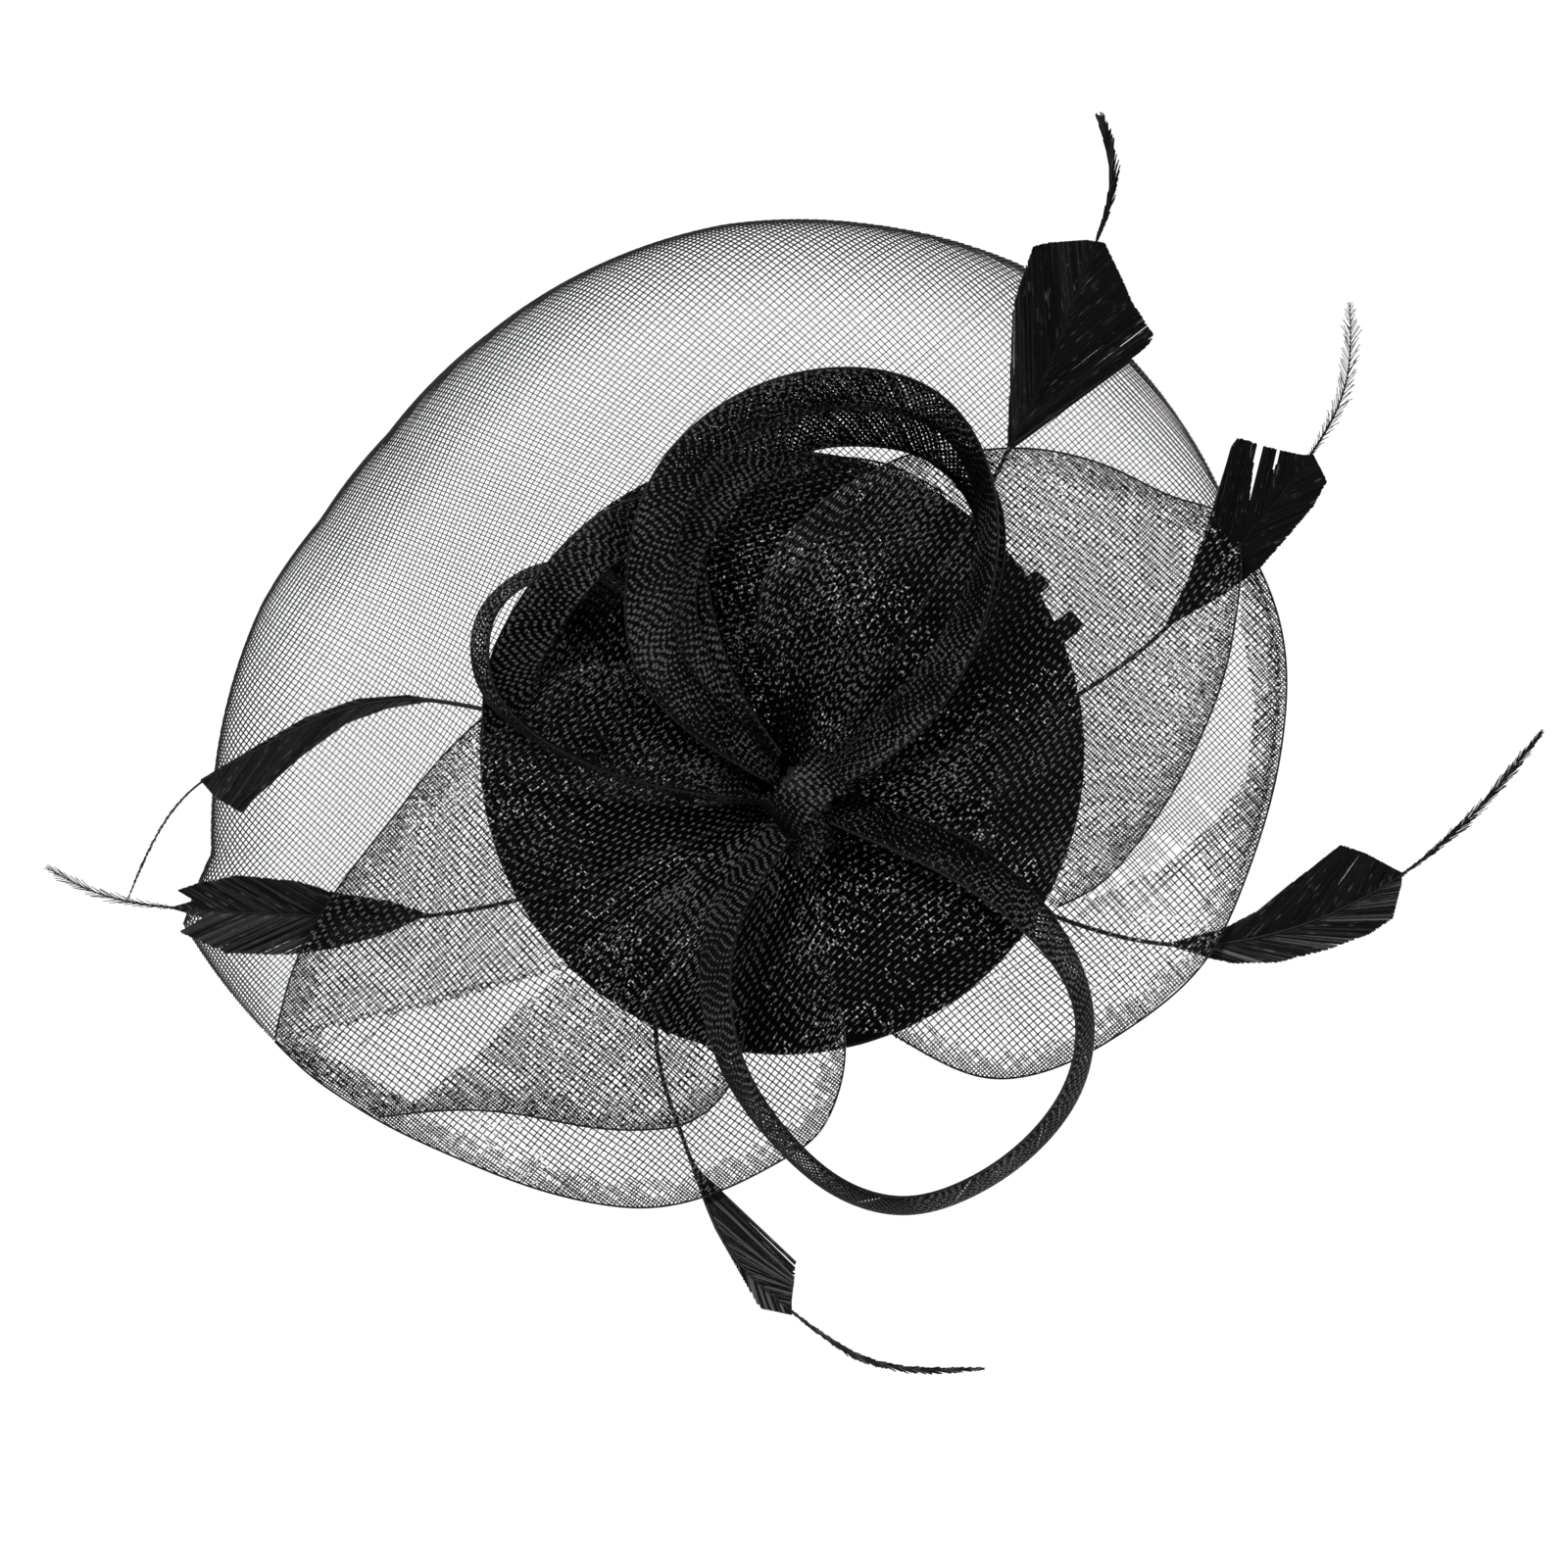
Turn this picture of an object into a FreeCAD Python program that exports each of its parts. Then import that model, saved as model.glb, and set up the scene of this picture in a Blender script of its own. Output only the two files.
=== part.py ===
"""Fascinator headpiece: a covered disc base on a forked hair clip, dressed with net, crin and feathers.

Millimetres, +Z up out of the face of the base, +X to the wearer's view right, +Y to the top.
The origin is the centre of the underside of the base, where it meets the head.
"""
import FreeCAD, Part
import math
import os
import Sketcher
from FreeCAD import Placement, Rotation, Vector

SIZES = {
    # covered base
    "base_radius": 62.5,
    "dome_radius": 293.0,
    "dome_apex": 9.6,
    "cover_thickness": 0.6,
    "cover_gap": 0.1,
    "form_thickness": 1.2,
    "form_radius": 59.6,
    "rim_roll_radius": 1.6,
    "rim_wire_radius": 0.8,
    "hem_width": 2.7,
    "lining_thickness": 0.6,
    "lining_radius": 58.0,
    "patch_width": 19.0,
    "patch_length": 36.0,
    "window_width": 20.0,
    "window_margin": 3.5,
    # forked clip, measured along the clip from its hinge
    "clip_thickness": 0.8,
    "clip_width": 15.5,
    "clip_tail": 15.0,
    "clip_reach": 32.0,
    "fork_width": 6.5,
    "fork_start": 5.0,
    "fork_overrun": 1.0,
    "pin_depth": 4.5,
    "pin_radius": 0.8,
    "pin_hole_radius": 0.9,
    "ear_half_length": 2.3,
    "ear_depth": 6.0,
    "lever_ear_inset": 1.1,
    "lever_ear_depth": 2.6,
    "lever_depth": 7.2,
    "lever_tip_depth": 1.3,
    "lever_tail_depth": 11.0,
    "lever_tail": 17.0,
    "spring_radius": 1.9,
    "spring_wire_radius": 0.35,
    "spring_width": 5.0,
    "spring_leg": 4.5,
    "stitch_radius": 0.35,
    # net veil and crin
    "veil_thickness": 0.8,
    "veil_height": 9.8,
    "veil_drop": 20.6,
    "veil_roll": 22.0,
    "veil_flat": 4.0,
    "veil_gather": 7.0,
    "veil_middle": 38.0,
    "veil_clearance": 1.4,
    "petal_thickness": 0.8,
    "puff_rise": 45.0,
    "puff_fall": 90.0,
    "ribbon_width": 9.6,
    "ribbon_thickness": 0.8,
    # centre knot
    "knot_x": 4.5,
    "knot_y": -8.5,
    "knot_radius": 6.5,
    "knot_bottom": 11.4,
    "knot_top": 41.0,
    "wrap_width": 12.0,
    "wrap_thickness": 1.2,
    "wrap_gap": 0.4,
    "filling_inset": 1.0,
    "root_depth": 1.0,
    # feathers
    "quill_radius": 0.7,
    "vane_thickness": 0.8,
    "feather_level": 12.6,
}

CLIP_ANGLE = 40.0
CLIP_HINGE = (33.0, 11.5)
STITCH_PLACES = (9.0, 18.0)
WRAP_ANGLE = 45.0

# Turns of the spring, and how far its two legs lean in towards the plate and the lever.
SPRING_TURNS = 3.5
LEG_LEANS = (0.12, 0.16)

# Where the grids of the sheets have their rows: back from the edge of the net, and out along a petal.
ROLL_SHARES = (1.0, 0.6, 0.3, 0.1, 0.0)
PETAL_SHARES = (0.0, 0.1, 0.25, 0.45, 0.65, 0.85, 1.0)
SECTIONS_PER_STATION = 3
BEND_SHARE = 0.4

# A place on an axis of a sketch, as its value and its expression.
ZERO = (0.0, "0")

# Edge of the net, as angle from +X and distance from the centre of the base.
VEIL_EDGE = [
    (-61, 76), (-49, 86), (-39, 90), (-26, 94), (-16, 96), (-4, 98.5), (6, 100.5), (20, 102), (33, 106),
    (48, 109), (64, 112.5), (80, 111), (96, 110), (110, 108), (125, 106), (141, 105), (153, 107),
    (164, 112), (180, 117), (190, 120), (196, 129), (204, 124), (212, 119), (222, 112), (235, 96),
]

# Outer edge of each gathered petal, then its height at the knot and how far it puffs up.
PETALS = {
    "crin_petal_left": (
        [(-40, 18.5), (-51, 15), (-62, 7), (-71, -2), (-79, -12), (-90, -26), (-100, -43), (-105, -59)],
        17.0, 10.0),
    "crin_petal_lower_left": (
        [(-105, -60), (-98, -66.5), (-83, -76.5), (-68, -83.5), (-53, -89.5), (-38, -93), (-26, -94),
         (-12, -91), (1, -84), (8, -79), (12, -71), (13, -63), (12.5, -54)], 15.0, 10.0),
    "crin_petal_bottom": (
        [(-76, -74), (-65, -74), (-53, -75), (-38, -77.5), (-26, -78), (-19.5, -76.5), (-14, -73),
         (-10, -67)], 19.0, 13.0),
    "crin_petal_lower_right": (
        [(25, -56), (32, -63), (42, -67), (56, -65), (71, -57), (87, -43), (96, -27), (101.5, -8),
         (103.5, 2)], 15.0, 11.0),
    "crin_petal_right": (
        [(57, -32), (66, -27.5), (74, -19.5), (81, -9.5), (87, 2.4), (92, 16.5), (95, 33.5), (94, 44),
         (89, 49), (82, 52.5), (69.5, 58), (58, 62), (47, 63), (38, 62.5), (24, 61), (10, 53.5), (0, 43.5)],
        20.5, 13.0),
    "crin_petal_top": (
        [(34, 53), (21, 59.5), (10, 61.5), (-2, 62), (-12, 60), (-24, 56)], 17.0, 12.0),
    "crin_petal_upper_left": (
        [(-20, 57), (-33, 51.5), (-46, 41.5), (-55, 30), (-60, 17), (-62, 2)], 14.8, 10.0),
}

# Middle line of each ribbon loop: x, y, z and the tilt of the ribbon's face out of the level, in degrees.
LOOPS = {
    "crin_loop_top": [
        (-1, -4, 35, 60), (-13, 5, 40, 30), (-25, 18, 45, 12), (-27, 35, 50, 12), (-22.5, 54, 54, 22),
        (-8.5, 68.5, 55, 35), (13, 74.5, 54, 38), (31, 70, 52, 52), (41.5, 53, 50, 68), (38, 27, 46, 50),
        (27, 9, 41, 30), (10, -5, 35, 60),
    ],
    "crin_loop_bottom": [
        (2, -14, 35, 60), (-9.5, -29, 43, 50), (-13.5, -46, 50, 52), (-10, -64, 54, 60), (0.5, -79.5, 55, 66),
        (12, -89, 55, 68), (25, -92.5, 54, 68), (38, -89, 53, 68), (51, -80, 51, 68), (60, -67, 50, 68),
        (61, -50, 48, 66), (54, -37, 46, 50), (38, -23, 42, 30), (10.5, -12, 35, 60),
    ],
    "crin_loop_small": [
        (-0.5, -6, 26, 84), (-15, 8, 33, 84), (-25, 24, 36, 84), (-37, 36.5, 38, 74), (-49.5, 37.6, 38, 66),
        (-57, 33.4, 38, 64), (-61.2, 28, 37, 62), (-62.6, 21.5, 37, 62), (-61, 13.5, 37, 66),
        (-47, 1, 37.5, 84), (-30, -6, 37, 86), (-0.5, -10.5, 26, 84),
    ],
}
LOOP_WIDTH_SHARE = {"crin_loop_small": 0.56}

# Each feather: where its quill runs, the slope of its outer part in degrees, and the outline of its vane.
FEATHERS = {
    "feather_top": (
        [(38, 46), (46.5, 62), (56.5, 83.5), (64, 103.5), (67.5, 116), (65, 130.5)], 20.0,
        [(46.5, 62), (47, 77), (47.6, 91.6), (48.6, 95.6), (51.7, 104), (55, 104.7), (62.4, 105.2),
         (66.3, 104.5), (69.5, 98), (72, 92.4), (76.4, 86), (76, 84.6), (67, 76.2), (59, 71), (51, 65)]),
    "feather_upper_right": (
        [(62, 12.5), (79.5, 26), (92, 40), (107, 59), (115.5, 76), (116, 92)], 24.0,
        [(79, 26), (83.7, 35.7), (86.3, 43.2), (87.7, 49.4), (89, 57), (91, 61), (93.6, 64.6), (98.2, 63),
         (106.8, 61), (109, 61), (111.8, 55.7), (109, 50.5), (103.7, 44.2), (98.3, 38), (91, 32.6),
         (83.7, 28.4)]),
    "feather_right": (
        [(55.5, -33.5), (79, -39.5), (104, -36.5), (127.5, -25), (143, -11.5), (156, 4.5)], 14.0,
        [(79, -39.5), (91, -36.3), (97.7, -32.8), (104.3, -27.4), (110, -23), (115, -19), (120, -20.7),
         (127.4, -24.7), (127.3, -27), (125.6, -34), (120, -37.3), (112, -41.5), (102, -43.8), (89, -42.5)]),
    "feather_bottom": (
        [(-26, -58), (-18.8, -84), (-10.5, -103), (2, -115), (18, -125), (41.5, -126.5)], 12.0,
        [(-18.5, -84), (-16.2, -87), (-10, -91.8), (-2.4, -96.2), (4.5, -101), (3, -104), (2, -113),
         (2, -115.7), (-4, -114.5), (-5, -113.5), (-10, -104.7), (-13.8, -98), (-16.8, -90.4)]),
    "feather_upper_left": (
        [(-62, 9), (-77, 11), (-93, 8), (-109, 0), (-121, -7.5), (-134.5, -31)], 16.0,
        [(-71, 10.8), (-77.2, 11.8), (-87.5, 11), (-98, 7.2), (-108.2, 1.2), (-119.5, -5.7), (-116.5, -9.3),
         (-111.2, -12.4), (-106.2, -7.3), (-98, 0), (-89.6, 6.1), (-81.4, 9.1)]),
    "feather_lower_left": (
        [(-55, -30.5), (-77, -34), (-101, -33.5), (-125, -32), (-142, -28.5), (-151.5, -23.5)], 6.0,
        [(-73, -33.3), (-81.4, -30.6), (-91.8, -29), (-100, -26.5), (-112.2, -25.3), (-120.5, -27),
         (-127.8, -29.4), (-121, -30.5), (-126, -32), (-119, -34), (-124, -37), (-114.5, -41.3),
         (-102, -41.7), (-91.8, -40.3), (-81.4, -37.3)]),
}

doc = FreeCAD.newDocument("Fascinator")
sizes = doc.addObject("Spreadsheet::Sheet", "Sizes")
for row, (alias, value) in enumerate(SIZES.items(), start=1):
    sizes.set("A%d" % row, alias)
    sizes.set("B%d" % row, str(value))
    sizes.setAlias("B%d" % row, alias)
doc.recompute()

PARTS = []


def size(alias):
    """The number that the sheet holds under this name."""
    return float(getattr(sizes, alias))


def total(*terms):
    """A sum of sheet values, as its value and its expression. A leading minus takes a value away."""
    value = 0.0
    text = ""
    for term in terms:
        alias = term.lstrip("-")
        negative = term.startswith("-")
        value += -size(alias) if negative else size(alias)
        text += (" - " if negative else " + ") + "Sizes." + alias
    return value, text.strip().lstrip("+ ") if not text.startswith(" -") else "0" + text


def part_object(kind, label):
    """A document object that becomes one node."""
    thing = doc.addObject(kind, label)
    thing.Label = label
    PARTS.append(thing)
    return thing


def keep_shape(label, shape):
    """A node whose shape is set straight from Part's own functions."""
    thing = part_object("Part::Feature", label)
    thing.Shape = shape
    return thing


def sketch_on(body, name, role):
    """A sketch on one of the body's own origin planes."""
    plane = [f for f in body.Origin.OriginFeatures if f.Role == role][0]
    sketch = body.newObject("Sketcher::SketchObject", name)
    sketch.AttachmentSupport = [(plane, "")]
    sketch.MapMode = "FlatFace"
    return sketch


def pin_point(sketch, geometry, end, x, y):
    """Hold a point at x and y, each (value, expression), or on an axis where that is zero."""
    for kind, (value, expression), axis in (("DistanceX", x, -2), ("DistanceY", y, -1)):
        if abs(value) < 1e-9:
            sketch.addConstraint(Sketcher.Constraint("PointOnObject", geometry, end, axis))
            continue
        index = sketch.addConstraint(Sketcher.Constraint(kind, -1, 1, geometry, end, value))
        sketch.setExpression("Constraints[%d]" % index, expression)


def draw_polygon(sketch, points):
    """A closed outline of straight lines through points of (value, expression) pairs."""
    corners = [Vector(x[0], y[0], 0) for x, y in points]
    lines = [
        sketch.addGeometry(Part.LineSegment(corner, corners[(i + 1) % len(corners)]), False)
        for i, corner in enumerate(corners)
    ]
    for i, line in enumerate(lines):
        sketch.addConstraint(Sketcher.Constraint("Coincident", line, 2, lines[(i + 1) % len(lines)], 1))
        pin_point(sketch, line, 1, *points[i])
    return lines


def draw_dome(sketch, outer, inner, centre, edge):
    """Half the section of a dome shell: two arcs about one centre on the axis, closed at the edge."""
    arcs = []
    for radius in (outer, inner):
        edge_angle = math.acos(edge[0] / radius[0])
        circle = Part.Circle(Vector(0, centre[0], 0), Vector(0, 0, 1), radius[0])
        arc = sketch.addGeometry(Part.ArcOfCircle(circle, edge_angle, math.pi / 2), False)
        pin_point(sketch, arc, 3, ZERO, centre)
        index = sketch.addConstraint(Sketcher.Constraint("Radius", arc, radius[0]))
        sketch.setExpression("Constraints[%d]" % index, radius[1])
        sketch.addConstraint(Sketcher.Constraint("PointOnObject", arc, 2, -2))
        index = sketch.addConstraint(Sketcher.Constraint("DistanceX", -1, 1, arc, 1, edge[0]))
        sketch.setExpression("Constraints[%d]" % index, edge[1])
        arcs.append(arc)
    for end in (1, 2):
        ends = [sketch.getPoint(arc, end) for arc in arcs]
        line = sketch.addGeometry(Part.LineSegment(*ends), False)
        for side, arc in enumerate(arcs, start=1):
            sketch.addConstraint(Sketcher.Constraint("Coincident", line, side, arc, end))


def revolve(body, sketch, name):
    """Turn a sketch on XZ all the way round the upright axis."""
    turn = body.newObject("PartDesign::Revolution", name)
    turn.Profile = sketch
    turn.ReferenceAxis = (sketch, ["V_Axis"])
    turn.Angle = 360
    body.Tip = turn
    doc.recompute()
    return turn


def pad(body, sketch, name, length, reverse=False):
    """Pad a sketch by a length of (value, expression)."""
    block = body.newObject("PartDesign::Pad", name)
    block.Profile = sketch
    block.setExpression("Length", length[1])
    block.Reversed = reverse
    body.Tip = block
    doc.recompute()
    return block


def pocket_through(body, sketch, name):
    """Cut a sketch right through the body both ways, and make sure that it cut something."""
    before = body.Shape.Volume
    cut = body.newObject("PartDesign::Pocket", name)
    cut.Profile = sketch
    cut.Type = "ThroughAll"
    cut.Midplane = True
    body.Tip = cut
    doc.recompute()
    assert body.Shape.Volume < before, name
    return cut


# ---------------------------------------------------------------- covered base

def base_form():
    """Stiffened buckram dome."""
    body = part_object("PartDesign::Body", "base_form")
    sketch = sketch_on(body, "form_section", "XZ_Plane")
    draw_dome(sketch, total("dome_radius", "-cover_thickness", "-cover_gap"),
              total("dome_radius", "-cover_thickness", "-cover_gap", "-form_thickness"),
              total("dome_apex", "-dome_radius"), total("form_radius"))
    revolve(body, sketch, "form_shell")


def base_rim_wire():
    """Millinery wire round the rim, inside the roll of the cover."""
    wire = part_object("Part::Torus", "base_rim_wire")
    wire.setExpression("Radius1", total("base_radius", "-rim_roll_radius")[1])
    wire.setExpression("Radius2", "Sizes.rim_wire_radius")
    wire.setExpression("Placement.Base.z", "Sizes.rim_roll_radius")


def base_cover():
    """Fabric over the dome, rolled round the wire and turned under as a hem."""
    body = part_object("PartDesign::Body", "base_cover")
    top = sketch_on(body, "cover_section", "XZ_Plane")
    middle = total("base_radius", "-rim_roll_radius")
    draw_dome(top, total("dome_radius"), total("dome_radius", "-cover_thickness"),
              total("dome_apex", "-dome_radius"), middle)
    revolve(body, top, "cover_top")
    roll = sketch_on(body, "roll_section", "XZ_Plane")
    centre = Vector(middle[0], size("rim_roll_radius"), 0)
    arcs = []
    for radius in (total("rim_roll_radius"), total("rim_roll_radius", "-cover_thickness")):
        circle = Part.Circle(centre, Vector(0, 0, 1), radius[0])
        arc = roll.addGeometry(Part.ArcOfCircle(circle, -math.pi / 2, math.pi / 2), False)
        pin_point(roll, arc, 3, middle, total("rim_roll_radius"))
        index = roll.addConstraint(Sketcher.Constraint("Radius", arc, radius[0]))
        roll.setExpression("Constraints[%d]" % index, radius[1])
        for end in (1, 2):
            roll.addConstraint(Sketcher.Constraint("Vertical", arc, 3, arc, end))
        arcs.append(arc)
    for end in (1, 2):
        line = roll.addGeometry(Part.LineSegment(*[roll.getPoint(arc, end) for arc in arcs]), False)
        for side, arc in enumerate(arcs, start=1):
            roll.addConstraint(Sketcher.Constraint("Coincident", line, side, arc, end))
    revolve(body, roll, "cover_roll")
    hem = sketch_on(body, "hem_section", "XZ_Plane")
    inner = total("base_radius", "-rim_roll_radius", "-hem_width")
    draw_polygon(hem, [(inner, ZERO), (middle, ZERO), (middle, total("cover_thickness")),
                       (inner, total("cover_thickness"))])
    revolve(body, hem, "cover_hem")


def clip_place():
    """The clip's own frame: X along the clip to its tips, Z up, origin under the base above the hinge."""
    return Placement(Vector(CLIP_HINGE[0], CLIP_HINGE[1], 0), Rotation(Vector(0, 0, 1), CLIP_ANGLE))


def base_lining():
    """Flat lining on the underside, with a window for the felt patch under the clip.

    The block that cuts the window stands out of the lining by the lining's thickness on both sides.
    """
    disc = doc.addObject("Part::Cylinder", "lining_disc")
    disc.setExpression("Radius", "Sizes.lining_radius")
    disc.setExpression("Height", "Sizes.lining_thickness")
    window = doc.addObject("Part::Box", "lining_window")
    window.setExpression("Length", "Sizes.base_radius")
    window.setExpression("Width", "Sizes.window_width")
    window.setExpression("Height", "Sizes.lining_thickness * 3")
    corner = Vector(-size("clip_tail") - size("window_margin"), -size("window_width") / 2,
                    -size("lining_thickness"))
    start = clip_place().multVec(corner)
    window.Placement = Placement(start, clip_place().Rotation)
    lining = part_object("Part::Cut", "base_lining")
    lining.Base = disc
    lining.Tool = window


def felt_patch():
    """Felt let into the window of the lining. The clip is sewn through it."""
    body = part_object("PartDesign::Body", "felt_patch")
    sketch = sketch_on(body, "patch_outline", "XY_Plane")
    half = (size("patch_width") / 2, "Sizes.patch_width / 2")
    low = (-half[0], "-Sizes.patch_width / 2")
    start = total("-clip_tail", "-pin_radius")
    end = (start[0] + size("patch_length"), start[1] + " + Sizes.patch_length")
    draw_polygon(sketch, [(start, low), (end, low), (end, half), (start, half)])
    pad(body, sketch, "patch_pad", total("lining_thickness"))
    body.Placement = clip_place()


# ---------------------------------------------------------------- forked clip

def ear_pads(body, name, outer, x_half, low, high, thickness):
    """A pair of hinge ears: blocks across the clip, at its two sides."""
    for side, label in ((1, "left"), (-1, "right")):
        sketch = sketch_on(body, "%s_%s" % (name, label), "XZ_Plane")
        draw_polygon(sketch, [((-x_half[0], "-" + x_half[1]), low), (x_half, low), (x_half, high),
                              ((-x_half[0], "-" + x_half[1]), high)])
        offset = outer[0] - thickness[0] if side > 0 else -outer[0]
        sketch.AttachmentOffset = Placement(Vector(0, 0, -offset), Rotation())
        pad(body, sketch, "%s_%s_pad" % (name, label), thickness, reverse=True)


def hinge_hole(body, name):
    """The hole for the hinge pin through both ears."""
    sketch = sketch_on(body, name, "XZ_Plane")
    circle = sketch.addGeometry(
        Part.Circle(Vector(0, -size("pin_depth"), 0), Vector(0, 0, 1), size("pin_hole_radius")), False)
    pin_point(sketch, circle, 3, ZERO, total("-pin_depth"))
    index = sketch.addConstraint(Sketcher.Constraint("Radius", circle, size("pin_hole_radius")))
    sketch.setExpression("Constraints[%d]" % index, "Sizes.pin_hole_radius")
    pocket_through(body, sketch, name + "_cut")


def fork_slot(body, name):
    """The gap between the two prongs."""
    sketch = sketch_on(body, name, "XY_Plane")
    half = (size("fork_width") / 2, "Sizes.fork_width / 2")
    low = (-half[0], "-Sizes.fork_width / 2")
    end = total("clip_reach", "fork_overrun")
    draw_polygon(sketch, [(total("fork_start"), low), (end, low), (end, half), (total("fork_start"), half)])
    pocket_through(body, sketch, name + "_cut")


def clip_plate():
    """Fixed upper half of the clip, flat against the felt, with ears that carry the pin."""
    body = part_object("PartDesign::Body", "clip_plate")
    side = sketch_on(body, "plate_side", "XZ_Plane")
    draw_polygon(side, [(total("-clip_tail"), total("-clip_thickness")),
                        (total("clip_reach"), total("-clip_thickness")),
                        (total("clip_reach"), ZERO), (total("-clip_tail"), ZERO)])
    block = pad(body, side, "plate_pad", total("clip_width"))
    block.Midplane = True
    doc.recompute()
    fork_slot(body, "plate_fork")
    ear_pads(body, "plate_ear", (size("clip_width") / 2, ""), total("ear_half_length"),
             total("-ear_depth"), total("-clip_thickness"), total("clip_thickness"))
    hinge_hole(body, "plate_hole")
    body.Placement = clip_place()


def clip_lever():
    """Sprung lower half: prongs that close up to the plate, and a tail to press."""
    body = part_object("PartDesign::Body", "clip_lever")
    side = sketch_on(body, "lever_side", "XZ_Plane")
    tail_top = total("-lever_tail_depth")
    tail_low = total("-lever_tail_depth", "-clip_thickness")
    middle_top = total("-lever_depth")
    middle_low = total("-lever_depth", "-clip_thickness")
    tip_top = total("-lever_tip_depth")
    tip_low = total("-lever_tip_depth", "-clip_thickness")
    back = total("-ear_half_length")
    front = total("ear_half_length")
    draw_polygon(side, [(total("-lever_tail"), tail_low), (back, middle_low), (front, middle_low),
                        (total("clip_reach"), tip_low), (total("clip_reach"), tip_top),
                        (front, middle_top), (back, middle_top), (total("-lever_tail"), tail_top)])
    width = (size("clip_width") - 2 * size("lever_ear_inset"),
             "Sizes.clip_width - 2 * Sizes.lever_ear_inset")
    block = pad(body, side, "lever_pad", width)
    block.Midplane = True
    doc.recompute()
    fork_slot(body, "lever_fork")
    ear_pads(body, "lever_ear", (width[0] / 2, ""), total("ear_half_length"),
             total("-lever_depth"), total("-lever_ear_depth"), total("clip_thickness"))
    hinge_hole(body, "lever_hole")
    body.Placement = clip_place()


def across_clip(offset, depth):
    """A placement whose Z runs across the clip, at a place along it and below the base."""
    return clip_place() * Placement(Vector(0, offset, -depth), Rotation(Vector(1, 0, 0), -90))


def clip_hinge_pin():
    """Pin through the four ears."""
    pin = part_object("Part::Cylinder", "clip_hinge_pin")
    pin.setExpression("Radius", "Sizes.pin_radius")
    pin.setExpression("Height", "Sizes.clip_width + Sizes.clip_thickness")
    pin.Placement = across_clip(-(size("clip_width") + size("clip_thickness")) / 2, size("pin_depth"))


def clip_spring():
    """Coil round the pin, with a leg that bears on the plate and one that bears on the lever."""
    radius = size("spring_radius")
    wire = size("spring_wire_radius")
    width = size("spring_width")
    coil = Part.makeHelix(width / SPRING_TURNS, width, radius)
    section = Part.Wire(Part.Circle(Vector(radius, 0, 0), Vector(0, 1, 0), wire).toShape())
    turns = Part.Wire(coil.Edges).makePipeShell([section], True, True)
    leg = size("spring_leg")
    legs = [
        Part.makeCylinder(wire, leg, Vector(radius, wire, 0), Vector(-LEG_LEANS[0], -1, 0)),
        Part.makeCylinder(wire, leg, Vector(-radius, -wire, width), Vector(-LEG_LEANS[1], 1, 0)),
    ]
    thing = keep_shape("clip_spring", turns.fuse(legs).removeSplitter())
    turn = Placement(Vector(0, 0, 0), Rotation(Vector(0, 0, 1), 90))
    thing.Placement = across_clip(-width / 2, size("pin_depth")) * turn


def clip_stitches():
    """Thread bars that hold the flat of the clip to the felt, two across each prong."""
    radius = size("stitch_radius")
    side = (size("clip_width") + size("fork_width")) / 4
    bars = []
    for along in STITCH_PLACES:
        for across in (-side, side):
            length = (size("clip_width") - size("fork_width")) / 2 + 2 * radius
            start = Vector(along, across - length / 2, -size("clip_thickness") - radius)
            bars.append(Part.makeCylinder(radius, length, start, Vector(0, 1, 0)))
    keep_shape("clip_stitches", Part.makeCompound(bars)).Placement = clip_place()


# ---------------------------------------------------------------- net and crin sheets

def smooth_surface(rows):
    """A cubic surface with the grid's points as its control points, so that it can't overshoot them."""
    knots = []
    counts = []
    for number in (len(rows), len(rows[0])):
        knots.append([float(i) for i in range(number - 2)])
        counts.append([4] + [1] * (number - 4) + [4])
    surface = Part.BSplineSurface()
    surface.buildFromPolesMultsKnots(rows, counts[0], counts[1], knots[0], knots[1], False, False, 3, 3)
    return surface


def grid_below(rows, thickness):
    """The grid moved square to its own surface by the thickness, on its lower side."""
    lower = []
    for i, row in enumerate(rows):
        before = rows[max(i - 1, 0)]
        after = rows[min(i + 1, len(rows) - 1)]
        moved = []
        for j, spot in enumerate(row):
            across = after[j] - before[j]
            along = row[min(j + 1, len(row) - 1)] - row[max(j - 1, 0)]
            normal = across.cross(along).normalize()
            if normal.z > 0:
                normal = normal * -1
            moved.append(spot + normal * thickness)
        lower.append(moved)
    return lower


def sheet_solid(rows, thickness):
    """A thin closed solid under a smooth surface."""
    top = smooth_surface(rows).toShape()
    bottom = smooth_surface(grid_below(rows, thickness)).toShape()
    walls = [Part.makeRuledSurface(a, b) for a, b in zip(top.Edges, bottom.Edges)]
    shell = Part.makeShell([top, bottom] + walls)
    shell.sewShape()
    solid = Part.makeSolid(shell)
    if solid.Volume < 0:
        solid.reverse()
    return solid


def dome_height(distance):
    """Height of the top of the cover at a distance from the centre of the base."""
    radius = size("dome_radius")
    return size("dome_apex") - radius + math.sqrt(radius ** 2 - distance ** 2)


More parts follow.
